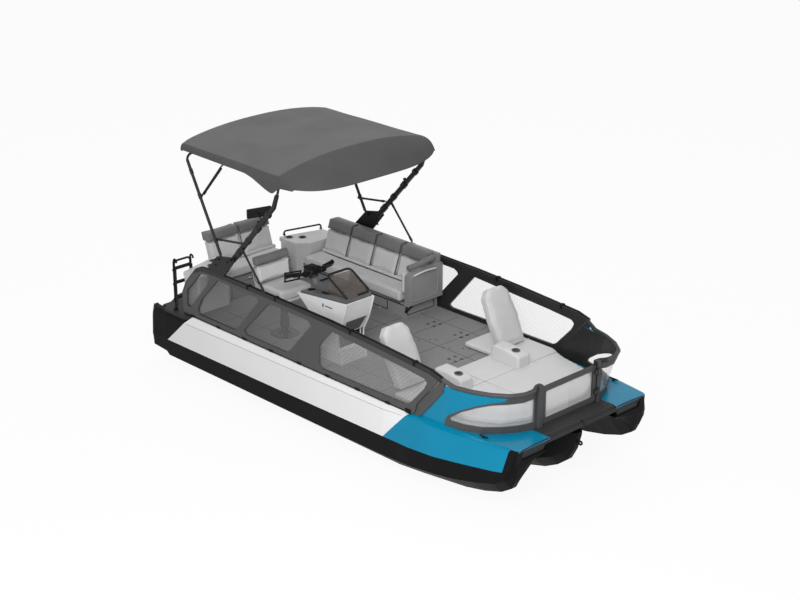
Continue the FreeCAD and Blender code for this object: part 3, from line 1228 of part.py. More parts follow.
def bimini_links():
    """Two short links between the aft struts and the arms."""
    link = rod((LINK_AFT[0], INNER_Y, LINK_AFT[1]), (LINK_FWD[0], INNER_Y, LINK_FWD[1]), 7)
    eye = rod((LINK_AFT[0], INNER_Y - 10, LINK_AFT[1]), (LINK_AFT[0], INNER_Y + 10, LINK_AFT[1]), 14)
    hole = rod((LINK_AFT[0], INNER_Y - 20, LINK_AFT[1]), (LINK_AFT[0], INNER_Y + 20, LINK_AFT[1]), 5 + PIN_FIT)
    return both_sides(fused(link, eye).cut(hole))


def crown_share(y):
    """Share of the crown that is left at this distance from the middle."""
    return max(0, 1 - (y / CANOPY_RIDGE_Y) ** 2)


def roof_z(x, y):
    """Height of the canopy's top above a point, along its straight panels."""
    for (xa, za, ca), (xb, zb, cb) in zip(CANOPY_ROOF, CANOPY_ROOF[1:]):
        if xa <= x <= xb:
            t = (x - xa) / (xb - xa)
            return za + (zb - za) * t + CANOPY_CROWN * (ca + (cb - ca) * t) * crown_share(y)
    return CANOPY_ROOF[-1][1]


def canopy_section(y, inset, drop, hem):
    """Outline of the canopy at one distance from the middle, in order from the aft hem over the roof."""
    bow = CANOPY_BOW * crown_share(y)
    low = [(x, z - drop) for x, z in CANOPY_HEM]
    low[-1] = (low[-1][0] + inset, low[-1][1])
    roof = [(x, (CANOPY_HEM_Z + 12 if hem else roof_z(x, y)) - inset) for x, _, _ in CANOPY_ROOF]
    roof[0] = (roof[0][0] + inset, roof[0][1])
    roof[-1] = (roof[-1][0] + bow * 0.4 - inset * 0.5, roof[-1][1])
    (nose_x, nose_z), (lip_x, lip_z) = CANOPY_NOSE
    nose = [(nose_x + bow - inset, min(nose_z, roof[-1][1] - 20)), (lip_x + bow - inset, lip_z - drop)]
    return [V(x, y, z) for x, z in roof + nose + low]


def canopy_shell(inset, drop):
    rows = [*CANOPY_ROWS, CANOPY_RIDGE_Y - inset * 0.6, CANOPY_HEM_Y - inset]
    signed = [-y for y in reversed(rows)] + rows[1:]
    return loft([canopy_section(y, inset, drop, abs(y) == rows[-1]) for y in signed])


def canopy():
    """Crowned canopy with a short skirt and a bowed front drop: closed solid, open below."""
    return canopy_shell(0, 0).cut(canopy_shell(CANOPY_T, 60))


def mirror():
    """Rear-view mirror on the starboard arm."""
    y0 = -(ARM_OUT_Y - ARM_T)
    head = Part.makeBox(MIRROR_W, MIRROR_T, MIRROR_H, V(-MIRROR_W / 2, -MIRROR_T / 2, -MIRROR_H / 2))
    head = head.makeFillet(14, head.Edges)
    head.rotate(V(0, 0, 0), Z_AXIS, MIRROR_TURN)
    head.translate(V(*MIRROR_AT))
    stem = rod((MIRROR_FOOT[0], y0 - 4, MIRROR_FOOT[1]), MIRROR_AT, MIRROR_STEM_R)
    return fused(head, stem).cut(bimini_main())


def ladder():
    """Boarding ladder, folded upright at the starboard end of the stern deck."""
    z0, z1 = LADDER_Z, LADDER_TOP
    frame = tube([(LADDER_X, LADDER_YS[0], z0), (LADDER_X, LADDER_YS[0], z1), (LADDER_X, LADDER_YS[1], z1),
                  (LADDER_X, LADDER_YS[1], z0)], LADDER_R, 50)
    body = frame
    for y, inward in zip(LADDER_YS, (1, -1)):
        slide_y = y + inward * 3
        body = fused(body, rod((LADDER_X + 28, slide_y, z0 + 40), (LADDER_X + 28, slide_y, z1 - 90), 10))
        for z in (z0 + 60, z1 - 130):
            body = fused(body, box(LADDER_X - 4, LADDER_X + 34, slide_y - 8, slide_y + 8, z, z + 22))
        body = fused(body, rod((LADDER_X, y - 12, z0), (LADDER_X, y + 12, z0), 18))
    for z in (z0 + 130, z0 + 320, z0 + 500):
        body = fused(body, box(LADDER_X - 8, LADDER_X + 40, *LADDER_YS, z, z + 18))
    for y in LADDER_YS:
        body = body.cut(rod((LADDER_X, y - 20, z0), (LADDER_X, y + 20, z0), 8 + PIN_FIT))
    return body


def ladder_hinges():
    top = STERN_DECK_Z + STERN_DECK_T
    parts = []
    for y in LADDER_YS:
        pin = rod((LADDER_X, y - 26, LADDER_Z), (LADDER_X, y + 26, LADDER_Z), 8)
        base = box(LADDER_X - 14, LADDER_X + 14, y - 26, y + 26, top, top + 3)
        ears = [box(LADDER_X - 14, LADDER_X + 14, a, a + 12, top, LADDER_Z + 12) for a in (y - 26, y + 14)]
        parts.append(fused(base, pin, *ears))
    return parts


def cleat_at(x, y, z):
    """Cleat with its horn along the boat."""
    foot = box(x - 15, x + 15, y - 12, y + 12, z, z + 16)
    return fused(foot, rod((x - 55, y, z + 20), (x + 55, y, z + 20), 9))


def deck_cleats():
    """Cleats, the bow eye and the ladder's hinge ears: small fixed fittings."""
    top = DECK_Z + 3
    x, y = along(2470), SIDE_Y - 223
    cleat = cleat_at(x, y, top)
    eye_x, eye_z = along(2818), 520
    plate = box(eye_x, eye_x + 77, -8, 8, eye_z - 24, eye_z + 24)
    ring = rod((eye_x + 75, -8, eye_z), (eye_x + 75, 8, eye_z), 26)
    hole = rod((eye_x + 75, -9, eye_z), (eye_x + 75, 9, eye_z), 13)
    eye = fused(plate, ring).cut(hole).cut(hull_centre())
    x, y, top = along(-2650), SIDE_Y - 103, STERN_DECK_Z + STERN_DECK_T
    stern = cleat_at(x, y, top)
    return Part.makeCompound([cleat, mirrored(cleat), eye, stern] + ladder_hinges())


NODES = {
    "hull_port": hull_side, "hull_starboard": lambda: mirrored(hull_side()), "hull_centre": hull_centre,
    "side_panels": lambda: both_sides(SIDE_PANEL), "bow_shrouds": bow_shrouds, "deck_frame": deck_frame,
    "floor_tiles": floor_tiles, "swim_platform": swim_platform, "bow_step": bow_step,
    "fences": fences, "fence_mesh": fence_mesh,
    "bow_corner_port": bow_corner_port, "bow_corner_starboard": lambda: mirrored(bow_corner()),
    "gate_frame": gate_frame, "gate_mesh": gate_mesh, "bow_pads": bow_pads, "bow_backrests": bow_backrests,
    "bow_armrests": bow_armrests, "lounge_base": lounge_base,
    "lounge_back": lounge_back, "lounge_bolster": lounge_bolster,
    "lounge_seat": lounge_seat, "corner_tables": corner_tables, "aft_base": aft_base, "aft_back": aft_back,
    "aft_bolster": aft_bolster, "aft_seat": aft_seat, "stern_rail": stern_rail,
    "helm_pedestal": helm_pedestal, "helm_shell": helm_shell, "helm_cushion": helm_cushion,
    "helm_headroll": helm_headroll, "console_body": console_body, "console_dash": console_dash,
    "windscreen": windscreen, "screen_rail": screen_rail, "handlebar": handlebar,
    "bimini_brackets": bimini_brackets, "bimini_main": bimini_main, "bimini_stays": bimini_stays,
    "bimini_aft": bimini_aft, "bimini_mid": bimini_mid, "bimini_links": bimini_links, "canopy": canopy,
    "mirror": mirror,
    "ladder": ladder, "deck_cleats": deck_cleats, "engine": engine, "jet_pump": jet_pump,
    "impeller": impeller, "steering_nozzle": steering_nozzle, "reverse_bucket": reverse_bucket,
    "intake_grate": intake_grate,
}

for name, make in NODES.items():
    shape = make()
    shape.exportStep(f"parts/{name}.step")
    bb = shape.BoundBox
    print(f"{name:22s} valid {shape.isValid()} solids {len(shape.Solids)} volume {shape.Volume / 1e6:9.3f} l "
          f"x {bb.XMin:.0f}..{bb.XMax:.0f} y {bb.YMin:.0f}..{bb.YMax:.0f} z {bb.ZMin:.0f}..{bb.ZMax:.0f}")
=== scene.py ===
import math

import bmesh
import bpy
import numpy as np
from mathutils import Matrix, Vector


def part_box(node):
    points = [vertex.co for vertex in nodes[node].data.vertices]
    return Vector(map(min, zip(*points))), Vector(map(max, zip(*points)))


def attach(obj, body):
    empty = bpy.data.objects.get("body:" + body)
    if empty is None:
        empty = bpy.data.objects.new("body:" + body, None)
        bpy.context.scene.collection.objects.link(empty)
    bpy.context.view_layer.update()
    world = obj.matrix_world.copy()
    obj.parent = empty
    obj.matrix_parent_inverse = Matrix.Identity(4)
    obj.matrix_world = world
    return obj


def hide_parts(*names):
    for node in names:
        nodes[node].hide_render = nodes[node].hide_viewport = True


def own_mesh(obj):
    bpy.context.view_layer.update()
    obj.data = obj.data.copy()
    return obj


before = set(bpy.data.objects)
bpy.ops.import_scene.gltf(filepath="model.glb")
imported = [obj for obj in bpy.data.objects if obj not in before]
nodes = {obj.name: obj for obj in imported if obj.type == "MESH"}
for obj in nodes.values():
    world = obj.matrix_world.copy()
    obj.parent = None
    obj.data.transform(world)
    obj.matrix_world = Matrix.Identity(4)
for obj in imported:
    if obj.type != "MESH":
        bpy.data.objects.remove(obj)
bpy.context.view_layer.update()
scene = bpy.context.scene

# Materials

OUTWARD_LIMIT, LEVEL_LIMIT, BOW_WEIGHT = 0.35, -0.25, 0.8
GRAIN_SCALE, WEAVE_SCALE, FIGURE_SCALE = 320.0, 1100 / 6, 9.0
STERN_X, BOW_X = -2.0, 0.4
PLAIN_COVER, FORWARD_TONE = 0.72, 0.35


def srgb(r, g, b):
    """8-bit display colour to linear."""
    out = []
    for c in (r, g, b):
        c = c / 255
        out.append(c / 12.92 if c <= 0.04045 else ((c + 0.055) / 1.055) ** 2.4)
    return (*out, 1.0)


def grey(level):
    """Neutral colour, very slightly cool."""
    return srgb(level, level, level + 1)


def new_material(name):
    made = bpy.data.materials.new(name)
    made.use_nodes = True
    tree = made.node_tree
    return made, tree, tree.nodes["Principled BSDF"]


def add(tree, kind, **values):
    node = tree.nodes.new(kind)
    for key, value in values.items():
        if key in node.inputs:
            node.inputs[key].default_value = value
        else:
            setattr(node, key, value)
    return node


def math_node(tree, operation, a, b=None, clamp=False):
    """Math node whose inputs are sockets or numbers."""
    node = add(tree, "ShaderNodeMath", operation=operation)
    node.use_clamp = clamp
    for socket, value in zip(node.inputs, (a, b)):
        if value is None:
            continue
        if isinstance(value, (int, float)):
            socket.default_value = value
        else:
            tree.links.new(value, socket)
    return node.outputs["Value"]


def coordinates(tree):
    return add(tree, "ShaderNodeTexCoord").outputs["Object"]


def axes_of(tree, output):
    split = add(tree, "ShaderNodeSeparateXYZ")
    tree.links.new(add(tree, "ShaderNodeTexCoord").outputs[output], split.inputs["Vector"])
    return split.outputs["X"], split.outputs["Y"], split.outputs["Z"]


def noise_of(tree, vector, scale, detail=2.0):
    node = add(tree, "ShaderNodeTexNoise", Scale=scale, Detail=detail)
    tree.links.new(vector, node.inputs["Vector"])
    return node.outputs["Fac"]


def mottled(tree, vector, colour, amount, scale):
    """Slow mottling of a colour, as dust, fading and moulding give it."""
    ramp = add(tree, "ShaderNodeValToRGB")
    ends = ramp.color_ramp.elements
    ends[0].position, ends[1].position = 0.3, 0.7
    ends[0].color = [c * (1 - amount) for c in colour[:3]] + [1]
    ends[1].color = [min(1, c * (1 + amount)) for c in colour[:3]] + [1]
    tree.links.new(noise_of(tree, vector, scale, 4), ramp.inputs["Fac"])
    return ramp.outputs["Color"]


def vary_colour(tree, shader, vector, colour, amount, scale):
    tree.links.new(mottled(tree, vector, colour, amount, scale), shader.inputs["Base Color"])


def mix_colours(tree, factor, a, b):
    mix = add(tree, "ShaderNodeMix", data_type="RGBA")
    for name, value in (("Factor", factor), ("A", a), ("B", b)):
        if isinstance(value, tuple):
            mix.inputs[name].default_value = value
        else:
            tree.links.new(value, mix.inputs[name])
    return mix.outputs["Result"]


def vary_roughness(tree, shader, vector, low, high, scale):
    span = add(tree, "ShaderNodeMapRange")
    span.inputs["To Min"].default_value, span.inputs["To Max"].default_value = low, high
    tree.links.new(noise_of(tree, vector, scale), span.inputs["Value"])
    tree.links.new(span.outputs["Result"], shader.inputs["Roughness"])


def bump(tree, shader, height, strength, distance):
    node = add(tree, "ShaderNodeBump", Strength=strength, Distance=distance)
    tree.links.new(height, node.inputs["Height"])
    tree.links.new(node.outputs["Normal"], shader.inputs["Normal"])


def painted(name, colour, rough=0.35, grain=900, depth=0.0004, coat=0.0, metallic=0.0, amount=0.06, scale=3.0,
            gloss=0.3):
    """Painted metal or moulded plastic with a fine texture."""
    made, tree, shader = new_material(name)
    vector = coordinates(tree)
    vary_colour(tree, shader, vector, colour, amount, scale)
    vary_roughness(tree, shader, vector, rough * 0.85, rough * 1.15, scale * 4)
    bump(tree, shader, noise_of(tree, vector, grain, 3), 0.25, depth)
    shader.inputs["Coat Weight"].default_value = coat
    shader.inputs["Coat Roughness"].default_value = 0.12
    shader.inputs["Metallic"].default_value = metallic
    shader.inputs["Specular IOR Level"].default_value = gloss
    return made


def outboard(tree):
    """Near 1 on faces that look away from the middle of the boat, near -1 on those that look inboard."""
    x, y, _ = axes_of(tree, "Normal")
    side = math_node(tree, "SIGN", axes_of(tree, "Object")[1])
    sideways, forward = math_node(tree, "MULTIPLY", y, side), math_node(tree, "MULTIPLY", x, BOW_WEIGHT)
    return math_node(tree, "ADD", sideways, forward)


def two_faced(name, outer, inner, rough=0.4, coat=0.0, gloss=0.2, rim=None, keep_level=False):
    """Paint with one colour outboard and another inboard.

    Beyond rim, measured from the centreline, everything has the inner colour. With keep_level, level
    faces have the outer colour.
    """
    made, tree, shader = new_material(name)
    vector = coordinates(tree)
    limit = LEVEL_LIMIT if keep_level else OUTWARD_LIMIT
    share = math_node(tree, "GREATER_THAN", outboard(tree), limit)
    if rim:
        reach = math_node(tree, "ABSOLUTE", axes_of(tree, "Object")[1])
        share = math_node(tree, "MULTIPLY", share, math_node(tree, "LESS_THAN", reach, rim))
    inboard_paint = mottled(tree, vector, inner, 0.12, 3)
    outboard_paint = mottled(tree, vector, outer, 0.05, 2)
    tree.links.new(mix_colours(tree, share, inboard_paint, outboard_paint), shader.inputs["Base Color"])
    vary_roughness(tree, shader, vector, rough * 0.85, rough * 1.15, 9)
    bump(tree, shader, noise_of(tree, vector, 800, 3), 0.25, 0.0004)
    shader.inputs["Coat Weight"].default_value = coat
    shader.inputs["Specular IOR Level"].default_value = gloss
    return made


def vinyl(name, colour, amount=0.05):
    """Marine vinyl: leather-like grain, soft sheen."""
    made, tree, shader = new_material(name)
    vector = coordinates(tree)
    vary_colour(tree, shader, vector, colour, amount, 4.0)
    vary_roughness(tree, shader, vector, 0.42, 0.58, 12)
    cells = add(tree, "ShaderNodeTexVoronoi", Scale=GRAIN_SCALE)
    cells.feature = "DISTANCE_TO_EDGE"
    tree.links.new(vector, cells.inputs["Vector"])
    bump(tree, shader, cells.outputs["Distance"], 0.3, 0.0007)
    shader.inputs["Sheen Weight"].default_value = 0.06
    shader.inputs["Specular IOR Level"].default_value = 0.25
    return made


def woven(name, colour):
    """Coarse outdoor cloth with crossed threads."""
    made, tree, shader = new_material(name)
    vector = coordinates(tree)
    vary_colour(tree, shader, vector, colour, 0.09, 2.2)
    shader.inputs["Roughness"].default_value = 0.86
    shader.inputs["Specular IOR Level"].default_value = 0.15
    heights = []
    for direction in ("X", "Y"):
        wave = add(tree, "ShaderNodeTexWave", Scale=WEAVE_SCALE)
        wave.bands_direction = direction
        tree.links.new(vector, wave.inputs["Vector"])
        heights.append(wave.outputs["Fac"])
    bump(tree, shader, math_node(tree, "MULTIPLY", *heights), 0.35, 0.0006)
    shader.inputs["Sheen Weight"].default_value = 0.05
    return made


def span_of(tree, value, start, end, low, high):
    """Value that goes from low to high while another goes from start to end."""
    span = add(tree, "ShaderNodeMapRange", interpolation_type="SMOOTHSTEP")
    for key, number in (("From Min", start), ("From Max", end), ("To Min", low), ("To Max", high)):
        span.inputs[key].default_value = number
    tree.links.new(value, span.inputs["Value"])
    return span.outputs["Result"]


def printed(name, dark, pale, stern_cover, bow_cover, port_cover, figure):
    """See-through printed panel: a woven figure all over, denser towards the stern and paler to port.

    The covers are the shares of light held back at the stern and at the bow; port_cover is taken off to port.
    """
    made, tree, shader = new_material(name)
    vector = coordinates(tree)
    x, y, _ = axes_of(tree, "Object")
    port = math_node(tree, "GREATER_THAN", y, 0.0)
    along = span_of(tree, x, STERN_X, BOW_X, 0.0, 1.0)
    tone = math_node(tree, "MAXIMUM", math_node(tree, "MULTIPLY", along, FORWARD_TONE), port)
    tone = math_node(tree, "MAXIMUM", tone, span_of(tree, x, 1.6, 1.95, 0.0, 1.0))
    tree.links.new(mix_colours(tree, tone, dark, pale), shader.inputs["Base Color"])
    shader.inputs["Roughness"].default_value = 0.45
    shader.inputs["Specular IOR Level"].default_value = 0.2
    waves = []
    for turn in (0.75, -0.75):
        mapping = add(tree, "ShaderNodeMapping")
        mapping.inputs["Rotation"].default_value = (0, turn, 0)
        tree.links.new(vector, mapping.inputs["Vector"])
        wave = add(tree, "ShaderNodeTexWave", Scale=FIGURE_SCALE)
        wave.bands_direction = "Z"
        tree.links.new(mapping.outputs["Vector"], wave.inputs["Vector"])
        waves.append(wave.outputs["Fac"])
    dots = math_node(tree, "MULTIPLY", *waves)
    rising, falling = span_of(tree, x, -0.6, 0.2, 0.12, 1.0), span_of(tree, x, 1.5, 1.9, 1.0, 0.0)
    forward = math_node(tree, "MULTIPLY", rising, falling)
    depth = math_node(tree, "MULTIPLY", forward, figure)
    weight = math_node(tree, "ADD", PLAIN_COVER, math_node(tree, "MULTIPLY", dots, depth))
    cover = span_of(tree, x, STERN_X, BOW_X, stern_cover, bow_cover)
    less = math_node(tree, "MULTIPLY", port, port_cover)
    cover = math_node(tree, "MULTIPLY", cover, math_node(tree, "SUBTRACT", 1.0, less))
    tree.links.new(math_node(tree, "MULTIPLY", cover, weight, clamp=True), shader.inputs["Alpha"])
    return made


def tinted(name, colour, alpha):
    """Clear tinted sheet."""
    made, tree, shader = new_material(name)
    vary_colour(tree, shader, coordinates(tree), colour, 0.1, 5)
    shader.inputs["Roughness"].default_value = 0.06
    shader.inputs["Alpha"].default_value = alpha
    return made


def glowing(name, colour, strength):
    """Lamp lens that shines a little."""
    made, tree, shader = new_material(name)
    vary_colour(tree, shader, coordinates(tree), colour, 0.1, 60)
    shader.inputs["Emission Color"].default_value = colour
    shader.inputs["Emission Strength"].default_value = strength
    return made


HULL = painted("hull_black", grey(20), rough=0.55, grain=500, amount=0.2, gloss=0.06)
WHITE = painted("panel_white", srgb(230, 230, 231), rough=0.25, coat=0.2, amount=0.02, scale=1.0,
                gloss=0.2)
TEAL = two_faced("shroud_teal", srgb(0, 128, 164), grey(40), rough=0.3, coat=0.15, gloss=0.12,
                 keep_level=True)
DECK = painted("deck_dark", grey(52), rough=0.6, grain=700, amount=0.12, gloss=0.15)
FLOOR = painted("floor_grey", grey(140), rough=0.75, grain=260, depth=0.0016, amount=0.05, scale=30.0,
                gloss=0.12)
FENCE = two_faced("fence_dark", grey(76), grey(42), rough=0.45, rim=1.1605)
BASE = painted("base_grey", grey(140), rough=0.4, coat=0.1, amount=0.05, gloss=0.2)
TABLE = painted("base_white", srgb(208, 208, 209), rough=0.32, coat=0.1, amount=0.03, gloss=0.2)
CONSOLE = painted("console_white", srgb(226, 226, 227), rough=0.25, coat=0.3, amount=0.03, gloss=0.3)
BLACK = painted("trim_black", grey(28), rough=0.42, amount=0.15, gloss=0.2)
# Mid grey for the dash; also the plate that paints shade on the console's recessed front face.
DASH = painted("dash_grey", grey(96), rough=0.5, amount=0.12, gloss=0.2)
# Near black for dark parts; also used as painted shade in the console's front recess and in the floor's
# holes.
DIM = painted("recess_dark", grey(22), rough=0.7, amount=0.1, gloss=0.1)
# Grey for seams and trim lines; also used as painted shade along the side panels' crease.
LINE = painted("panel_line", grey(186), rough=0.5, amount=0.05, gloss=0.1)
STEEL = painted("brushed_metal", srgb(185, 187, 190), rough=0.28, metallic=1.0, grain=1500, amount=0.05)
CAST = painted("cast_grey", srgb(120, 124, 130), rough=0.55, metallic=0.6, grain=300, amount=0.1)
IRON = painted("engine_iron", srgb(90, 90, 92), rough=0.6, metallic=0.5)
PALE = vinyl("cushion_pale", grey(212), 0.03)
LIGHT = vinyl("cushion_light", grey(202))
DARK = vinyl("cushion_dark", grey(112), 0.08)
SEAM = vinyl("seam_dark", grey(78), 0.1)
CUP = painted("cup_grey", grey(92), rough=0.35, amount=0.1, gloss=0.3)
CLOTH = woven("canopy_cloth", grey(104))
# Darker copy of the canopy cloth for the front drop and the side hems: painted shade.
SHADED_CLOTH = woven("canopy_shaded_cloth", grey(82))
MESH = printed("smoked_mesh", grey(98), grey(220), 0.38, 0.36, 0.45, 0.26)
GATE_MESH = printed("gate_mesh_print", grey(232), grey(234), 0.5, 0.5, 0.2, 0.1)
SCREEN = tinted("screen_tint", srgb(92, 82, 74), 0.5)
AMBER = glowing("courtesy_light", srgb(178, 170, 96), 0.2)

NODE_MATERIALS = {
    HULL: ["hull_port", "hull_starboard", "hull_centre"],
    WHITE: ["side_panels"],
    TEAL: ["bow_shrouds"],
    DECK: ["deck_frame", "swim_platform", "bow_step"],
    FLOOR: ["floor_tiles"],
    FENCE: ["fences", "bow_corner_port", "bow_corner_starboard", "gate_frame"],
    MESH: ["fence_mesh"],
    GATE_MESH: ["gate_mesh"],
    TABLE: ["corner_tables", "bow_armrests", "helm_shell"],
    CONSOLE: ["console_body"],
    BASE: ["lounge_base", "aft_base"],
    DASH: ["console_dash"],
    BLACK: ["screen_rail", "handlebar", "bimini_brackets", "bimini_main", "bimini_stays", "bimini_aft",
            "bimini_mid", "bimini_links", "mirror", "ladder", "helm_pedestal", "stern_rail", "deck_cleats"],
    SCREEN: ["windscreen"],
    STEEL: ["impeller", "intake_grate"],
    CAST: ["jet_pump", "steering_nozzle", "reverse_bucket"],
    IRON: ["engine"],
    PALE: ["bow_pads"],
    LIGHT: ["bow_backrests", "lounge_back", "lounge_seat", "aft_back", "aft_seat", "helm_cushion"],
    DARK: ["lounge_bolster", "aft_bolster", "helm_headroll"],
    CLOTH: ["canopy"],
}
for made, names in NODE_MATERIALS.items():
    for name in names:
        nodes[name].data.materials.clear()
        nodes[name].data.materials.append(made)


# Mesh helpers

CREASE = math.radians(45)
CLOTH_FRAMES = 20


def link(name, mesh, material, body):
    """Object in the scene, on a body, with its material."""
    made = bpy.data.objects.new(name, mesh)
    scene.collection.objects.link(made)
    made.data.materials.clear()
    made.data.materials.append(material)
    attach(made, body)
    return made


def smooth(obj):
    """Smooth shading with the sharp edges kept."""
    for p in obj.data.polygons:
        p.use_smooth = True
    bpy.context.view_layer.objects.active = obj
    obj.select_set(True)
    bpy.ops.object.shade_smooth_by_angle(angle=CREASE)
    obj.select_set(False)


def loose_parts(node):
    """Each separate solid of a CAD node as its own mesh, in order along the boat."""
    whole = bmesh.new()
    whole.from_mesh(nodes[node].data)
    bmesh.ops.remove_doubles(whole, verts=whole.verts, dist=0.00002)
    seen, parts = set(), []
    for start in whole.verts:
        if start.index in seen:
            continue
        stack, group = [start], []
        seen.add(start.index)
        while stack:
            v = stack.pop()
            group.append(v)
            for e in v.link_edges:
                w = e.other_vert(v)
                if w.index not in seen:
                    seen.add(w.index)
                    stack.append(w)
        index = {v: i for i, v in enumerate(group)}
        faces = {f for v in group for f in v.link_faces}
        mesh = bpy.data.meshes.new(f"{node}_part")
        mesh.from_pydata([v.co[:] for v in group], [], [[index[v] for v in f.verts] for f in faces])
        mesh.update()
        parts.append(mesh)
    whole.free()
    return sorted(parts, key=lambda m: tuple(round(c, 3) for c in coordinates_of(m).mean(axis=0)))


def coordinates_of(mesh):
    co = np.zeros(len(mesh.vertices) * 3)
    mesh.vertices.foreach_get("co", co)
    return co.reshape(-1, 3)


def set_coordinates(mesh, co):
    mesh.vertices.foreach_set("co", np.ascontiguousarray(co, dtype=np.float64).ravel())
    mesh.update()


def remeshed(mesh, voxel, name):
    """Copy of a closed mesh with even faces."""
    temp = bpy.data.objects.new("temp", mesh)
    scene.collection.objects.link(temp)
    modifier = temp.modifiers.new("remesh", "REMESH")
    modifier.mode = "VOXEL"
    modifier.voxel_size = voxel
    dg = bpy.context.evaluated_depsgraph_get()
    made = bpy.data.meshes.new_from_object(temp.evaluated_get(dg))
    made.name = name
    bpy.data.objects.remove(temp)
    return made


def relax(mesh, rounds, factor=0.5):
    """Each point moves towards the middle of its neighbours, a number of times."""
    bm = bmesh.new()
    bm.from_mesh(mesh)
    for _ in range(rounds):
        bmesh.ops.smooth_vert(bm, verts=bm.verts, factor=factor, use_axis_x=True, use_axis_y=True,
                              use_axis_z=True)
    bm.to_mesh(mesh)
    bm.free()
    mesh.update()


def shrink(mesh, distance):
    """Moves the surface inward along its normals."""
    co = coordinates_of(mesh)
    normals = np.array([v.normal[:] for v in mesh.vertices])
    set_coordinates(mesh, co - normals * distance)


def inflate(obj, pressure, cap):
    """Cloth under pressure until its last frame, with each point's travel capped; the result is applied."""
    before = coordinates_of(obj.data)
    cloth = obj.modifiers.new("cloth", "CLOTH")
    cloth.settings.use_pressure = True
    cloth.settings.uniform_pressure_force = pressure
    cloth.settings.effector_weights.gravity = 0
    cloth.settings.tension_stiffness = 12
    cloth.settings.compression_stiffness = 12
    cloth.settings.bending_stiffness = 0.6
    cloth.collision_settings.use_collision = False
    scene.frame_start, scene.frame_end = 1, CLOTH_FRAMES
    for number in range(1, CLOTH_FRAMES + 1):
        scene.frame_set(number)
    dg = bpy.context.evaluated_depsgraph_get()
    after_mesh = obj.evaluated_get(dg).to_mesh()
    after = np.array([v.co[:] for v in after_mesh.vertices])
    obj.evaluated_get(dg).to_mesh_clear()
    obj.modifiers.remove(cloth)
    scene.frame_set(1)
    move = after - before
    length = np.linalg.norm(move, axis=1, keepdims=True)
    move *= np.minimum(1, cap / np.maximum(length, 1e-9))
    set_coordinates(obj.data, before + move)


def channel(mesh, axis, position, depth, width):
    """Sewn channel: the surface is drawn in where it crosses a plane."""
    co = coordinates_of(mesh)
    normals = np.array([v.normal[:] for v in mesh.vertices])
    gap = (co[:, axis] - position) / width
    set_coordinates(mesh, co - normals * (depth * np.exp(-gap ** 2))[:, None])


def clip_box(mesh, low, high):
    set_coordinates(mesh, np.clip(coordinates_of(mesh), low, high))


def cushion(mesh, name, material, body, slot, voxel=0.011, inset=0.006, cap=0.014, pressure=4.0, channels=(),
            room=(0.002, 0.002, 0.004), floor=True, fill=0.7, rounds=5):
    """Padded piece made from a CAD solid: remeshed, softened, inflated and drawn in at its seams."""
    box = coordinates_of(mesh)
    low, high = box.min(0), box.max(0)
    soft = remeshed(mesh, voxel, name)
    shrink(soft, inset)
    relax(soft, rounds)
    made = link(name, soft, material, body)
    inflate(made, pressure, cap)
    for axis, position, depth, width in channels:
        channel(soft, axis, position, depth, width)
    relax(soft, 1, 0.3)
    grow = np.array(room)
    bottom = low - grow
    if floor:
        bottom[2] = low[2]
    clip_box(soft, bottom, high + grow)
    for p in soft.polygons:
        p.use_smooth = True
    return made


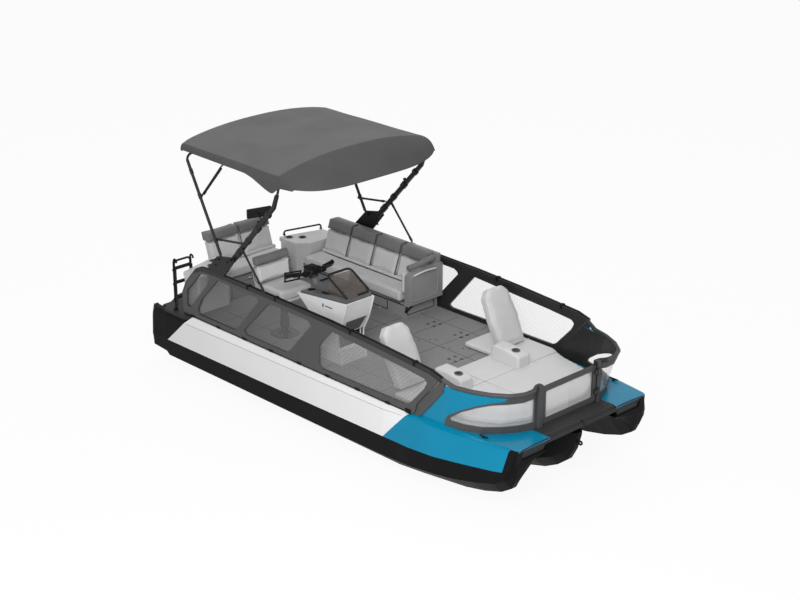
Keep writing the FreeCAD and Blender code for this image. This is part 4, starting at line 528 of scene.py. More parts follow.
class Pile:
    """Simple solids collected into one piece."""

    def __init__(self):
        self.bm = bmesh.new()

    def take(self, other):
        """Adds a solid and lets go of it."""
        mesh = bpy.data.meshes.new("part")
        other.to_mesh(mesh)
        other.free()
        self.bm.from_mesh(mesh)
        bpy.data.meshes.remove(mesh)

    def block(self, low, high, radius=0.002, turn=None, about=None):
        """Box with rounded edges; turn is a rotation about a point."""
        part = bmesh.new()
        bmesh.ops.create_cube(part, size=1)
        size = [h - l for l, h in zip(low, high)]
        middle = [(h + l) / 2 for l, h in zip(low, high)]
        for v in part.verts:
            v.co = Vector([c * s + m for c, s, m in zip(v.co, size, middle)])
        bmesh.ops.bevel(part, geom=part.edges[:], offset=min(radius, min(size) * 0.45), segments=2,
                        affect="EDGES", profile=0.5)
        if turn:
            centre = Vector(about or middle)
            bmesh.ops.rotate(part, verts=part.verts, cent=centre, matrix=turn)
        self.take(part)

    def rod(self, a, b, radius, wider=None, sides=16):
        """Round bar from a to b, or a cone where its second radius is given."""
        a, b = Vector(a), Vector(b)
        part = bmesh.new()
        turn = (b - a).to_track_quat("Z", "Y").to_matrix().to_4x4()
        bmesh.ops.create_cone(part, cap_ends=True, segments=sides, radius1=radius, radius2=wider or radius,
                              depth=(b - a).length, matrix=Matrix.Translation((a + b) / 2) @ turn)
        self.take(part)

    def tube(self, points, radius, closed=False, soft=True):
        """Tube along points, rounded at its bends unless soft is off."""
        curve = bpy.data.curves.new("route", "CURVE")
        curve.dimensions = "3D"
        curve.bevel_depth, curve.bevel_resolution, curve.use_fill_caps = radius, 2, True
        curve.resolution_u = 8
        spline = curve.splines.new("NURBS" if soft and len(points) > 2 else "POLY")
        spline.points.add(len(points) - 1)
        for point, co in zip(spline.points, points):
            point.co = (*co, 1)
        spline.use_cyclic_u = closed
        if spline.type == "NURBS":
            spline.order_u = 3
            spline.use_endpoint_u = not closed
        holder = bpy.data.objects.new("route", curve)
        scene.collection.objects.link(holder)
        graph = bpy.context.evaluated_depsgraph_get()
        mesh = bpy.data.meshes.new_from_object(holder.evaluated_get(graph))
        bpy.data.objects.remove(holder)
        self.bm.from_mesh(mesh)
        bpy.data.meshes.remove(mesh)

    def ring(self, centre, radius, thick, axis=(0, 0, 1), count=20):
        """Round loop of tube about an axis."""
        turn = Vector(axis).to_track_quat("Z", "Y")
        circle = [Vector(centre) + turn @ Vector((radius * math.cos(k), radius * math.sin(k), 0))
                  for k in np.linspace(0, 2 * math.pi, count, endpoint=False)]
        self.tube(circle, thick, closed=True)

    def plate(self, outline, depth):
        """Flat plate: an outline in space, thickened along a vector."""
        part = bmesh.new()
        front = [part.verts.new(Vector(p)) for p in outline]
        back = [part.verts.new(Vector(p) + Vector(depth)) for p in outline]
        part.faces.new(front)
        part.faces.new(reversed(back))
        for i in range(len(front)):
            j = (i + 1) % len(front)
            part.faces.new((front[j], front[i], back[i], back[j]))
        bmesh.ops.recalc_face_normals(part, faces=part.faces)
        self.take(part)

    def done(self, name, material, body="boat"):
        """The collected solids as one piece."""
        mesh = bpy.data.meshes.new(name)
        bmesh.ops.recalc_face_normals(self.bm, faces=self.bm.faces)
        self.bm.to_mesh(mesh)
        self.bm.free()
        made = link(name, mesh, material, body)
        smooth(made)
        return made


# Soft goods


CHANNEL = (0.004, 0.012)
PAD_CHANNEL = (0.006, 0.010)
PAD_SEAM_X, PAD_SEAM_Y = 1.653, -0.147
ROLL = {"voxel": 0.009, "cap": 0.007, "pressure": 2.0}


def all_parts(node, prefix, material, body, slot, **options):
    """A cushion in the place of each separate solid of a node."""
    made = []
    for i, mesh in enumerate(loose_parts(node), 1):
        made.append(cushion(mesh, f"{prefix}_{i}", material, body, slot, **options))
    for piece in made:
        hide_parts(node)


lounge_low, lounge_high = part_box("lounge_seat")
span = (lounge_high.x - lounge_low.x) / 4
all_parts("lounge_seat", "lounge_seat_cushion", LIGHT, "lounge_lid", "cushion_light", voxel=0.012,
          channels=[(0, lounge_low.x + span * k, *CHANNEL) for k in (1, 2, 3)])
all_parts("lounge_back", "lounge_back_cushion", LIGHT, "boat", "cushion_light", room=(0.001, 0.004, 0.001))
all_parts("lounge_bolster", "lounge_headroll", DARK, "boat", "cushion_dark", room=(0.001, 0.006, 0.006),
          **ROLL)
all_parts("aft_seat", "aft_seat_cushion", LIGHT, "aft_lid", "cushion_light", voxel=0.012,
          channels=[(1, 0.0, *CHANNEL)])
all_parts("aft_back", "aft_back_cushion", LIGHT, "boat", "cushion_light", room=(0.004, 0.001, 0.001))
all_parts("aft_bolster", "aft_headroll", DARK, "boat", "cushion_dark", room=(0.006, 0.001, 0.006), **ROLL)
all_parts("helm_cushion", "helm_pad", LIGHT, "helm_chair", "cushion_light", voxel=0.01,
          room=(0.004, 0.003, 0.003), floor=False)
all_parts("helm_headroll", "helm_roll", DARK, "helm_chair", "cushion_dark", room=(0.006, 0.003, 0.006),
          **ROLL)
all_parts("bow_backrests", "bow_backrest_pad", LIGHT, "boat", "cushion_light", voxel=0.012,
          room=(0.008, 0.006, 0.006), cap=0.018, channels=[(2, 0.93, *CHANNEL)])
all_parts("bow_pads", "bow_pad", PALE, "boat", "pad_light", voxel=0.016, inset=0.004, cap=0.008, rounds=2,
          channels=[(1, PAD_SEAM_Y, *PAD_CHANNEL), (0, PAD_SEAM_X, *PAD_CHANNEL)])


# Canopy

RIDGE_Y, HEM_Y = 1.060, 1.128
ROOF_AFT_X, ROOF_BOW_X = -2.366, -0.562
CROWN_AFT, CROWN_BOW = 0.100, 0.116
SAGS, SAG = ((-1.87, 0.16), (-1.05, 0.24)), 0.009
TURN_LENGTH, TURN_DROP = 0.055, 0.088
BULGE = 0.035
# Beyond this point of the side hems the cloth takes its darker copy, painted shade.
HEM_START = 1.3
CLOTH_THICKNESS = 0.0035
EDGE = ((-2.345, 2.874), (-2.19, 2.876), (-1.545, 2.878), (-0.9, 2.882), (-0.562, 2.884))
LIP_MID_X, LIP_SIDE_X, LIP_MID_Z, LIP_SIDE_Z = -0.180, -0.360, 2.692, 2.755
HEM = ((-2.24, 2.800), (-1.12, 2.782), (-0.99, 2.752), (-0.78, 2.672), (-0.66, 2.640), (-0.60, 2.690),
       (-0.545, 2.735), (-0.370, 2.738))


def between(rows, x):
    """Height at x on a line given by its corners."""
    return float(np.interp(x, [r[0] for r in rows], [r[1] for r in rows]))


def roof_height(x, y):
    """Crowned roof, drawn down a little between its bows."""
    share = max(0.0, 1 - (y / RIDGE_Y) ** 2.3)
    crown = float(np.interp(x, [ROOF_AFT_X, ROOF_BOW_X], [CROWN_AFT, CROWN_BOW]))
    z = between(EDGE, x) + crown * share
    for middle, width in SAGS:
        z -= SAG * math.exp(-((x - middle) / width) ** 2) * (0.4 + 0.6 * share)
    return z


def canopy_point(s, t):
    """Point of the cloth.

    s goes from 0 at the aft hem over the roof, 1 to 2, to 3 at the front lip; t from -2 at the starboard
    hem to 2 at the port one.
    """
    side = -1 if t < 0 else 1
    a = min(abs(t), 1.0)
    y = a * RIDGE_Y
    round_aft = 0.030 * a ** 20
    start = ROOF_AFT_X + TURN_LENGTH + round_aft
    if s <= 1:
        angle = (1 - s) * math.pi / 2
        x = start - TURN_LENGTH * math.sin(angle)
        z = roof_height(start, y) - TURN_DROP * (1 - math.cos(angle))
    elif s <= 2:
        x = start + (ROOF_BOW_X - start) * (s - 1)
        z = roof_height(x, y)
    else:
        k = s - 2
        share = 1 - (a * 0.97) ** 4
        corner = 0.020 * a ** 12
        lip_x = LIP_SIDE_X + (LIP_MID_X - LIP_SIDE_X) * share - corner
        lip_z = LIP_SIDE_Z + (LIP_MID_Z - LIP_SIDE_Z) * share
        bulge = BULGE * math.sin(k * math.pi)
        z0 = roof_height(ROOF_BOW_X, y)
        x = ROOF_BOW_X + (lip_x - ROOF_BOW_X) * k + bulge * 0.6
        z = z0 + (lip_z - z0) * k + bulge
    if abs(t) > 1:
        angle = (abs(t) - 1) * math.pi / 2
        flare = 1 - 0.7 * max(0.0, s - 2)
        y += (HEM_Y - RIDGE_Y) * flare * math.sin(angle)
        hem_x = min(max(x, HEM[0][0]), HEM[-1][0])
        drop = 1 - math.cos(angle)
        z += (min(between(HEM, hem_x), z) - z) * drop
        x += (hem_x - x) * drop
    return (x, side * y, z)


def build_canopy():
    """Canopy cloth, with a darker copy of it on the front drop and the side hems as painted shade."""
    s_values = [*np.linspace(0, 1, 7)[:-1], *np.linspace(1, 2, 61)[:-1], *np.linspace(2, 3, 22)]
    t_side = [*np.linspace(0, 1, 34)[:-1], *np.linspace(1, 2, 12)]
    t_values = [-t for t in reversed(t_side)] + t_side[1:]
    width = len(t_values)
    verts = [canopy_point(s, t) for s in s_values for t in t_values]
    faces, shade_marks = [], []
    for i in range(len(s_values) - 1):
        for j in range(width - 1):
            a = i * width + j
            faces.append((a, a + 1, a + width + 1, a + width))
            # Faces of the front drop and the hems get the darker cloth, painted shade.
            hanging_in_shade = s_values[i] >= 2 or max(abs(t_values[j]), abs(t_values[j + 1])) > HEM_START
            shade_marks.append(1 if hanging_in_shade else 0)
    mesh = bpy.data.meshes.new("canopy_cloth")
    mesh.from_pydata(verts, [], faces)
    mesh.update()
    relax(mesh, 2)
    made = link("canopy_cloth", mesh, CLOTH, "sunshade_main")
    # Second material: the darker cloth that paints shade on the drop and the hems.
    mesh.materials.append(SHADED_CLOTH)
    for p, cloth in zip(mesh.polygons, shade_marks):
        p.use_smooth, p.material_index = True, cloth
    solid = made.modifiers.new("thickness", "SOLIDIFY")
    solid.thickness, solid.offset = CLOTH_THICKNESS, -1
    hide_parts("canopy")
    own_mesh(made)


build_canopy()


# Fence and hull trim

FENCE_Y, SILL_Y, CLIP_Y, FILLER_Y, BRACKET_Y = 1.160, 1.158, 1.163, 1.118, 1.170
RAIL_Y, RAIL_RADIUS, RAIL_DROP = FENCE_Y - 0.021, 0.022, 0.014
SILL_Z = 0.777
RAIL_LINE = ((-2.340, 1.030), (-2.262, 1.190), (-2.070, 1.400), (-1.960, 1.452), (-1.840, 1.462),
             (-0.850, 1.460), (0.293, 1.447), (0.927, 1.421), (1.385, 1.394), (1.828, 1.366), (1.985, 1.322))
CREASE_LINE = ((-2.18, 1.2335, 0.693), (-0.465, 1.2335, 0.716), (1.205, 1.2315, 0.736),
               (1.455, 1.2015, 0.739))
FILLER = ((1.565, 0.779), (1.66, 0.779), (1.80, 0.93), (1.99, 1.15), (2.02, 1.26), (1.99, 1.31),
          (1.628, 0.916))
for side, word in ((-1, "starboard"), (1, "port")):
    pile = Pile()
    y = side * RAIL_Y
    pile.tube([(x, y, z - RAIL_DROP) for x, z in RAIL_LINE], RAIL_RADIUS, soft=False)
    for x, z in RAIL_LINE[1:-1]:
        pile.rod((x - 0.004, y, z - RAIL_DROP), (x + 0.004, y, z - RAIL_DROP), RAIL_RADIUS)
    for x in (-1.10, -0.62, 0.62, 1.60):
        z = between(RAIL_LINE, x)
        pile.block((x - 0.022, y - 0.028, z - 0.046), (x + 0.022, y + 0.028, z + 0.012), 0.006)
    pile.done(f"fence_rail_{word}", HULL)
    pile = Pile()
    y = side * SILL_Y
    pile.block((-2.318, y - 0.004, SILL_Z), (1.556, y + 0.004, 0.789), 0.002)
    y = side * CLIP_Y
    for x in np.linspace(-2.15, 1.2, 8):
        pile.block((x - 0.035, y - 0.007, SILL_Z), (x + 0.035, y + 0.007, 0.800), 0.003)
    pile.block((1.47, y - 0.012, SILL_Z), (1.55, y + 0.010, 0.822), 0.006)
    pile.done(f"fence_sill_trim_{word}", DIM)
    pile = Pile()
    # Grey line along the side panel's crease: painted shade where its two faces meet.
    pile.tube([(x, side * y, z) for x, y, z in CREASE_LINE], 0.0030, soft=False)
    pile.done(f"side_panel_crease_shade_{word}", LINE)
    pile = Pile()
    pile.plate([(x, side * FILLER_Y, z) for x, z in FILLER], (0, side * 0.022, 0))
    pile.done(f"fence_filler_{word}", FENCE)

pile = Pile()
for x, rows in ((-1.44, (1.55, 1.66)), (-1.66, (1.57, 1.64))):
    for side in (-1, 1):
        for z in rows:
            pile.rod((x, side * (BRACKET_Y - 0.004), z), (x, side * (BRACKET_Y + 0.007), z), 0.011)
for x, z, r in ((-1.368, 1.706, 0.024), (-1.594, 1.655, 0.017)):
    for side in (-1, 1):
        pile.rod((x, side * 1.166, z), (x, side * 1.178, z), r, r * 0.8)
pile.done("bracket_bolts", DIM)

# Floor fittings, with painted shade in the floor's holes

ANCHORS = ((0.915, 0.145), (0.479, 0.685), (0.031, 0.691))
PIN_PAIRS = ((0.62, 0.30), (0.35, 0.36), (0.93, -0.24), (0.50, -0.12), (0.22, 0.20), (0.80, 0.44),
             (-0.12, 0.32))
TILE, JOINT_HALF, JOINT_EDGE = 0.45, 0.003, 0.0004
PAD_TOP = 0.8675
pile = Pile()
# Dark rings at the rims and dark discs at the bottoms of the anchor holes: painted shade of the holes.
for ax, ay in ANCHORS:
    for dx in (-0.05, 0.05):
        for dy in (-0.05, 0.05):
            pile.ring((ax + dx, ay + dy, 0.8055), 0.0165, 0.0025)
            pile.rod((ax + dx, ay + dy, 0.786), (ax + dx, ay + dy, 0.793), 0.0135)
for x, y in PIN_PAIRS:
    for k in (-1, 1):
        pile.rod((x + 0.03 * k, y + 0.02 * k, 0.8035), (x + 0.03 * k, y + 0.02 * k, 0.8065), 0.009)
pile.done("floor_pins_and_hole_shade", DIM)
pile = Pile()
floor_low, floor_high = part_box("floor_tiles")
low, high = floor_high.z - 0.0035, floor_high.z + 0.0003
for k in range(1, 8):
    x = floor_low.x + TILE * k + JOINT_HALF
    pile.block((x - JOINT_HALF, -1.05, low), (x + JOINT_HALF, 1.05, high), JOINT_EDGE)
for y in (-0.807, -0.267, 0.273, 0.813):
    pile.block((floor_low.x + 0.02, y - JOINT_HALF, low), (1.170, y + JOINT_HALF, high), JOINT_EDGE)
pile.done("floor_joints", DIM)

pile = Pile()
for a, b in (((1.181, PAD_SEAM_Y), (2.585, PAD_SEAM_Y)), ((PAD_SEAM_X, -0.985), (PAD_SEAM_X, 0.985)),
             ((1.183, 0.475), (1.183, 1.070)), ((2.120, -0.865), (2.120, 0.865)),
             ((1.181, 0.44), (PAD_SEAM_X, 0.44))):
    pile.tube([(*a, PAD_TOP), (*b, PAD_TOP)], 0.0032, soft=False)
pile.done("pad_seams", LINE)

# Cup holders

CUP_RADIUS, CUP_DEPTH = 0.042, 0.070


def cup_holder(pile, x, y, top, depth=CUP_DEPTH):
    """Ribbed cup with a rim and a floor."""
    pile.ring((x, y, top + 0.001), CUP_RADIUS + 0.002, 0.0045)
    pile.rod((x, y, top - depth), (x, y, top - depth + 0.004), CUP_RADIUS - 0.0005, sides=24)
    for k in np.linspace(0, 2 * math.pi, 12, endpoint=False):
        c, s = math.cos(k), math.sin(k)
        p = (x + CUP_RADIUS * c * 0.985, y + CUP_RADIUS * s * 0.985)
        pile.rod((*p, top - depth), (*p, top), 0.0115, sides=6)


pile = Pile()
for y in (0.430, -0.465):
    cup_holder(pile, 1.560, y, 1.031)
pile.done("armrest_cups", CUP)
pile = Pile()
for side in (-1, 1):
    for x, y in ((-2.445, 0.600), (-2.330, 0.720)):
        cup_holder(pile, x, side * y, 1.262)
pile.done("table_cups", CUP)
pile = Pile()
cup_holder(pile, -0.401, -0.806, 1.519, 0.03)
pile.done("dash_cup", BLACK)

# Seat seams, rails and lights

SEAM_RADIUS, JOIN_RADIUS = 0.0055, 0.024
SEAT_TOP = 1.14


def back_line(x, low, high, push):
    """Front face of the lounge back between two heights."""
    slope = 0.14 / 0.38
    return [(x, 0.820 + slope * (z - SEAT_TOP) - push, z) for z in np.linspace(low, high, 5)]


def bench_line(low, high, push):
    """Front face of the bench back amidships, between two heights."""
    return [(-2.600 - 0.36 * (z - SEAT_TOP) + push, 0.0, z) for z in np.linspace(low, high, 4)]


pile = Pile()
spans = np.linspace(-2.085, -0.350, 5)
for x in spans[1:-1]:
    pile.tube(back_line(x, 1.150, 1.392, 0.002), SEAM_RADIUS)
    pile.tube([*back_line(x, 1.396, 1.520, 0.016), (x, 0.985, 1.527), (x, 1.045, 1.524)], SEAM_RADIUS)
pile.done("lounge_seams", SEAM)

pile = Pile()
pile.tube(bench_line(1.150, 1.392, 0.016), SEAM_RADIUS)
pile.tube(bench_line(1.396, 1.500, 0.028), SEAM_RADIUS)
pile.done("bench_seams", SEAM)
pile = Pile()
pile.tube([(-2.07, 0.830, 1.138), (-0.37, 0.830, 1.138)], JOIN_RADIUS, soft=False)
pile.tube([(-2.604, -0.49, 1.137), (-2.604, 0.49, 1.137)], JOIN_RADIUS, soft=False)
pile.done("seat_joins", LIGHT)

WELT_IN, WELT_DROP = 0.003, 0.108
for node, body in (("lounge_seat", "lounge_lid"), ("aft_seat", "aft_lid")):
    low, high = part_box(node)
    x0, x1, y0, y1 = low.x + WELT_IN, high.x - WELT_IN, low.y + WELT_IN, high.y - WELT_IN
    c, z = 0.03, high.z - WELT_DROP
    pile = Pile()
    pile.tube([(x0 + c, y0, z), (x1 - c, y0, z), (x1, y0, z), (x1, y0 + c, z), (x1, y1 - c, z), (x1, y1, z),
               (x1 - c, y1, z), (x0 + c, y1, z), (x0, y1, z), (x0, y1 - c, z), (x0, y0 + c, z), (x0, y0, z)],
              0.005, closed=True)
    pile.done(f"{node}_welt_low", SEAM, body)

pile = Pile()
y0, y1, z0, z1, x = 0.59, 1.00, 1.04, 1.345, -0.2345
pile.tube([(x, y0, z0), (x, y0 - 0.005, z1), (x, y0 + 0.04, z1 + 0.02), (x, y1, z1 + 0.02),
           (x, y1 + 0.02, z1 - 0.02), (x, y1 + 0.01, z0), (x, y1 - 0.03, z0 - 0.012),
           (x, y0 + 0.03, z0 - 0.012)], 0.009, closed=True)
pile.done("lounge_end_frame", BASE)
pile = Pile()
pile.tube([(-0.232, 0.62, 1.352), (-0.205, 0.63, 1.372), (-0.203, 0.80, 1.388), (-0.203, 0.97, 1.372),
           (-0.232, 0.98, 1.352)], 0.011)
pile.done("lounge_end_handle", TABLE)
pile = Pile()
for y0, y1 in ((0.53, 0.565), (0.66, 0.575)):
    pile.rod((-0.262, y0, 0.985), (-0.318, y1, 0.885), 0.009)
pile.rod((-0.318, 0.57, 0.878), (-0.318, 0.57, 0.905), 0.014)
pile.done("lounge_bracket", BLACK)
pile = Pile()
y, z0, z1 = 0.5555, 0.845, 0.965
for x0, x1 in ((-2.02, -1.30), (-1.22, -0.62)):
    pile.tube([(x0, y, z0), (x1, y, z0), (x1, y, z1), (x0, y, z1)], 0.0045, closed=True, soft=False)
pile.tube([(-0.318, 0.60, 0.84), (-0.318, 1.03, 0.84), (-0.318, 1.03, 0.94), (-0.318, 0.60, 0.94)], 0.005,
          closed=True, soft=False)
pile.tube([(-2.08, 0.5515, 0.972), (-0.30, 0.5515, 0.972)], 0.004, soft=False)
pile.done("lounge_base_lines", DIM)
pile = Pile()
pile.block((-0.768, 0.548, 0.824), (-0.734, 0.563, 0.834), 0.004)
pile.block((-2.265, -0.22, 0.985), (-2.255, -0.16, 1.000), 0.004)
pile.done("courtesy_lights", AMBER)
pile = Pile()
for x, y in ((-2.572, 0.625), (-2.428, 1.108)):
    pile.ring((x, y, 1.263), 0.016, 0.004)
pile.done("grab_rail_collars", DIM)

# Console and helm


def console_top(x):
    """Height of the console's sloping top."""
    return 1.480 + 0.080 / 0.805 * (x + 0.520)


# Grey plate on the console's recessed front face: painted shade under the overhanging body.
pile = Pile()
pile.plate([(0.229, -0.565, 1.325), (0.133, -0.590, 1.156), (0.133, -0.826, 1.156), (0.229, -0.850, 1.325)],
           (-0.012, 0, 0.002))
pile.done("console_front_shade", DASH)
# Dark block low in the console's front recess: painted shade. The two small blocks sit on the console's side.
pile = Pile()
pile.block((0.040, -0.862, 0.985), (0.1165, -0.556, 1.140), 0.01)
pile.block((-0.058, -0.917, 1.450), (0.058, -0.905, 1.463), 0.003)
pile.block((-0.100, -0.920, 1.436), (-0.084, -0.906, 1.476), 0.003)
pile.done("console_side_marks_and_recess_shade", DIM)
pile = Pile()
rim = [(0.289, 1.556), (0.229, 1.330), (0.134, 1.152), (0.118, 1.10), (0.118, 0.96)]
for y in (-0.908, -0.508):
    pile.tube([(x, y, z) for x, z in rim], 0.0085)
pile.tube([(-0.518, -0.909, 1.482), (0.283, -0.909, 1.5615), (0.283, -0.506, 1.5615),
           (-0.518, -0.506, 1.482)], 0.0075, closed=True, soft=False)
pile.done("console_rim", CONSOLE)
pile = Pile()
pile.block((-0.345, -0.745, 1.600), (-0.185, -0.585, 1.612), 0.005, Matrix.Rotation(0.38, 4, "Y"),
           (-0.265, -0.665, 1.606))
z = console_top(-0.15)
for k in range(4):
    x = 0.035 * k
    pile.block((-0.16 + x, -0.87, z + 0.052), (-0.142 + x, -0.845, z + 0.068), 0.003)
pile.block((-0.075, -0.74, 1.610), (0.02, -0.60, 1.624), 0.006)
pile.done("dash_screen", DIM)
pile = Pile()
for k in range(3):
    x, y = 0.03 + 0.055 * k, 0.05 * k
    z = console_top(x)
    pile.block((x, -0.80 + y, z + 0.058), (x + 0.05, -0.788 + y, z + 0.064), 0.002)
pile.done("dash_trim", LINE)
pile = Pile()
pile.block((0.115, -0.84, 0.86), (0.1335, -0.66, 0.94), 0.012)
pile.ring((0.136, -0.75, 0.895), 0.055, 0.006, axis=(1, 0, 0))
pile.done("console_speaker", DIM)

COLUMN_LEAN = math.radians(28)
axis = Vector((-math.sin(COLUMN_LEAN), 0, math.cos(COLUMN_LEAN)))
top = Vector((-0.480, -0.700, 1.622)) + axis * 0.075
pile = Pile()
for side in (-1, 1):
    inner, outer = top + Vector((-0.010, side * 0.185, 0.003)), top + Vector((-0.042, side * 0.338, 0.006))
    pile.rod(inner, outer, 0.021)
    pile.rod(outer, outer + (outer - inner).normalized() * 0.008, 0.026)
    for k in range(6):
        p = inner.lerp(outer, (k + 0.5) / 6)
        pile.ring(p, 0.0215, 0.0025, axis=outer - inner, count=12)
    pile.block(top + Vector((0.01, side * 0.13 - 0.03, -0.028)),
               top + Vector((0.07, side * 0.13 + 0.03, 0.030)), 0.012)
pile.tube([(-0.550, -0.835, 1.712), (-0.592, -1.030, 1.722), (-0.596, -1.030, 1.618),
           (-0.588, -0.835, 1.606)], 0.0115, closed=True, soft=False)
pile.block(top + Vector((-0.075, -0.07, 0.030)), top + Vector((0.075, 0.07, 0.058)), 0.018)
pile.block(top + Vector((0.05, -0.05, 0.01)), top + Vector((0.105, 0.05, 0.075)), 0.014)
pile.done("handlebar_grips", DIM, "steering")

PEDESTAL, BOLT_CIRCLE = (-0.968, -0.740), 0.118
pile = Pile()
pile.ring((*PEDESTAL, 0.825), 0.056, 0.012)
for k in range(8):
    a = math.pi / 8 + k * math.pi / 4
    bolt = (PEDESTAL[0] + BOLT_CIRCLE * math.cos(a), PEDESTAL[1] + BOLT_CIRCLE * math.sin(a))
    pile.rod((*bolt, 0.818), (*bolt, 0.823), 0.007)
pile.rod((*PEDESTAL, 0.9), (*PEDESTAL, 1.05), 0.056, 0.049)
pile.done("pedestal_collar", BLACK)
pile = Pile()
for y in (-0.985, -0.495):
    pile.tube([(-1.110, y, 1.438), (-1.178, y, 1.440), (-1.226, y, 1.63), (-1.142, y, 1.63)], 0.0045)
pile.tube([(-1.111, -0.985, 1.434), (-1.111, -0.495, 1.434)], 0.005, soft=False)
pile.done("helm_seat_welts", SEAM, "helm_chair")

# Sunshade hardware

ARM_Y, STRUT_Y, BRACE_Y = 1.124, 1.125, 1.084
foot, bend = Vector((-1.368, 0, 1.706)), Vector((-0.635, 0, 2.505))
run = (bend - foot).normalized()
turn = Matrix.Rotation(-math.atan2(run.z, run.x), 4, "Y")
pile = Pile()
for side in (-1, 1):
    for share, size in ((0.13, 0.05), (0.36, 0.034), (0.60, 0.045), (0.86, 0.03)):
        p = foot + run * ((bend - foot).length * share)
        pile.block((p.x - size, side * ARM_Y - 0.022, p.z - 0.038),
                   (p.x + size, side * ARM_Y + 0.022, p.z + 0.038), 0.008, turn, (p.x, side * ARM_Y, p.z))
    p = foot + run * ((bend - foot).length * 0.66) + Vector((-run.z, 0, run.x)) * 0.042
    pile.rod((p.x, side * ARM_Y - 0.012, p.z), (p.x, side * ARM_Y + 0.012, p.z), 0.017)
pile.done("arm_collars", BLACK, "sunshade_main")


def thick_pair(name, a, b, y, radius, body, end):
    """Pair of sleeves over thin rods, with a wider fitting at each end."""
    pile = Pile()
    for side in (-1, 1):
        p, q = Vector((a[0], side * y, a[1])), Vector((b[0], side * y, b[1]))
        pile.rod(p, q, radius)
        step = (q - p).normalized()
        pile.rod(p - step * 0.004, p + step * end, radius * 1.2)
        pile.rod(q - step * end, q + step * 0.004, radius * 1.2)
    pile.done(name, BLACK, body)


thick_pair("stay_sleeves", (-1.171, 1.878), (-0.830, 1.499), 1.160, 0.0125, "sunshade_stays", 0.05)
thick_pair("link_sleeves", (-1.680, 1.852), (-1.235, 1.915), 1.086, 0.0130, "sunshade_links", 0.04)
pile = Pile()
for side in (-1, 1):
    a, b = Vector((-1.940, side * BRACE_Y, 2.339)), Vector((-1.60, side * BRACE_Y, 2.72))
    pile.rod(a, b, 0.0145)
    pile.rod(a, a.lerp(b, 0.1), 0.0175)
pile.done("mid_brace_sleeves", BLACK, "sunshade_mid")
pile = Pile()
strut = Vector((-0.596, 0, 1.09)).normalized()
for side in (-1, 1):
    for x, z, reach, radius in ((-1.958, 2.318, 0.03, 0.022), (-1.700, 1.849, 0.03, 0.022),
                                (-2.10, 2.581, 0.03, 0.022), (-1.892, 2.200, 0.58, 0.0175)):
        p = Vector((x, side * STRUT_Y, z))
        pile.rod(p - strut * reach, p + strut * reach, radius)
pile.done("strut_collars", BLACK, "sunshade_aft")

# Ladder and bow fittings

LADDER_X, LADDER_TOP = -2.495, 1.375
pile = Pile()
for y in (-1.150, -0.905):
    pile.tube([(LADDER_X, y, LADDER_TOP), (LADDER_X, y, 1.40), (-2.475, y, 1.415), (-2.44, y, 1.40),
               (-2.44, y, LADDER_TOP)], 0.011)
    pile.rod((LADDER_X, y, 0.87), (LADDER_X, y, LADDER_TOP), 0.0155)
    for z in (0.90, 1.09, 1.27):
        pile.block((-2.512, y - 0.017, z - 0.014), (-2.478, y + 0.017, z + 0.014), 0.005)
for z in (0.914, 1.104, 1.284):
    pile.block((-2.506, -1.140, z + 0.010), (-2.452, -0.915, z + 0.024), 0.005)
pile.done("ladder_treads", DIM, "boarding_ladder")

pile = Pile()
for side in (-1, 1):
    pile.tube([(2.905, side * 0.994, 0.735), (2.921, side * 0.988, 0.765), (2.918, side * 0.78, 0.770),
               (2.918, side * 0.54, 0.770)], 0.010)
    pile.plate([(2.906, side * 0.985, 0.757), (2.906, side * 0.545, 0.757), (2.885, side * 0.60, 0.600),
                (2.885, side * 0.95, 0.600)], (-0.03, 0, 0))
pile.done("bow_trim", BLACK)


# Lights, floor, camera

AMBIENT, FLOOR_GLOW, FLOOR_REACH = 0.46, 0.93, 60
CAMERA_AT, LENS = (13.6842, -12.9480, 8.8169), 80.557
YAW, PITCH = math.radians(136.21), math.radians(21.7799)


def area_light(name, location, target, size, power):
    """Round soft light that looks at a point."""
    data = bpy.data.lights.new(name, "AREA")
    data.shape = "DISK"
    data.size = size
    data.energy = power
    made = bpy.data.objects.new(name, data)
    scene.collection.objects.link(made)
    made.location = location
    made.rotation_mode = "QUATERNION"
    made.rotation_quaternion = (Vector(target) - Vector(location)).to_track_quat("-Z", "Y")
    return made


area_light("key", (7.5, -8.5, 9), (0, 0, 1), 6, 960)
area_light("fill", (7, -10, 3), (0, 0, 1.5), 5, 300)
area_light("top", (-4, 3, 12), (0, 0, 1), 8, 280)


def background_seen(tree):
    """1 for the rays that show the background itself: camera, glossy and transmission."""
    rays = add(tree, "ShaderNodeLightPath").outputs
    first = math_node(tree, "MAXIMUM", rays["Is Camera Ray"], rays["Is Transmission Ray"])
    return math_node(tree, "MAXIMUM", first, rays["Is Glossy Ray"])


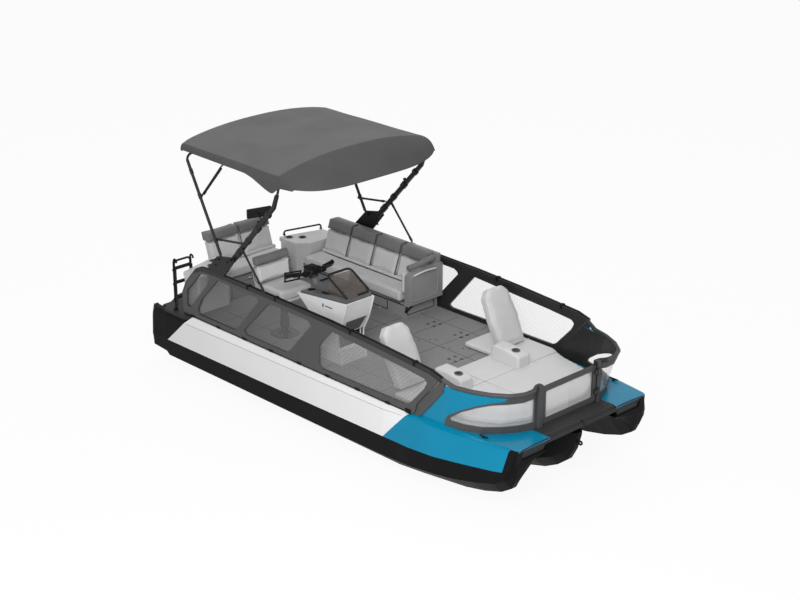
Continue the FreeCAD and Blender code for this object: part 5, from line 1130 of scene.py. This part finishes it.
world = bpy.data.worlds.new("studio")
scene.world = world
world.use_nodes = True
tree = world.node_tree
tree.nodes.clear()
plain = add(tree, "ShaderNodeBackground", Color=(1, 1, 1, 1), Strength=AMBIENT)
white = add(tree, "ShaderNodeBackground", Color=(1, 1, 1, 1), Strength=1.0)
chosen = add(tree, "ShaderNodeMixShader")
tree.links.new(background_seen(tree), chosen.inputs["Fac"])
tree.links.new(plain.outputs["Background"], chosen.inputs[1])
tree.links.new(white.outputs["Background"], chosen.inputs[2])
out = add(tree, "ShaderNodeOutputWorld")
tree.links.new(chosen.outputs["Shader"], out.inputs["Surface"])

floor_mesh = bpy.data.meshes.new("floor")
corners = ((-1, -1), (1, -1), (1, 1), (-1, 1))
floor_mesh.from_pydata([(x * FLOOR_REACH, y * FLOOR_REACH, 0) for x, y in corners], [], [(0, 1, 2, 3)])
floor = bpy.data.objects.new("floor", floor_mesh)
scene.collection.objects.link(floor)
floor_material, tree, shader = new_material("studio_floor")
shader.inputs["Roughness"].default_value = 0.9
seen = background_seen(tree)
matte, bright = (0.45, 0.45, 0.45, 1), (0.9, 0.9, 0.9, 1)
tree.links.new(mix_colours(tree, seen, matte, bright), shader.inputs["Base Color"])
glow = add(tree, "ShaderNodeEmission", Color=(1, 1, 1, 1), Strength=1.0)
both = add(tree, "ShaderNodeMixShader")
tree.links.new(math_node(tree, "MULTIPLY", seen, FLOOR_GLOW), both.inputs["Fac"])
tree.links.new(shader.outputs["BSDF"], both.inputs[1])
tree.links.new(glow.outputs["Emission"], both.inputs[2])
tree.links.new(both.outputs["Shader"], tree.nodes["Material Output"].inputs["Surface"])
floor.data.materials.append(floor_material)

camera_data = bpy.data.cameras.new("camera")
camera = bpy.data.objects.new("camera", camera_data)
scene.collection.objects.link(camera)
camera_data.sensor_width = 36
camera_data.lens = LENS
camera.location = CAMERA_AT
look = Vector((math.cos(YAW) * math.cos(PITCH), math.sin(YAW) * math.cos(PITCH), -math.sin(PITCH)))
camera.rotation_mode = "QUATERNION"
camera.rotation_quaternion = look.to_track_quat("-Z", "Y")
scene.camera = camera
scene.view_settings.view_transform = "Standard"
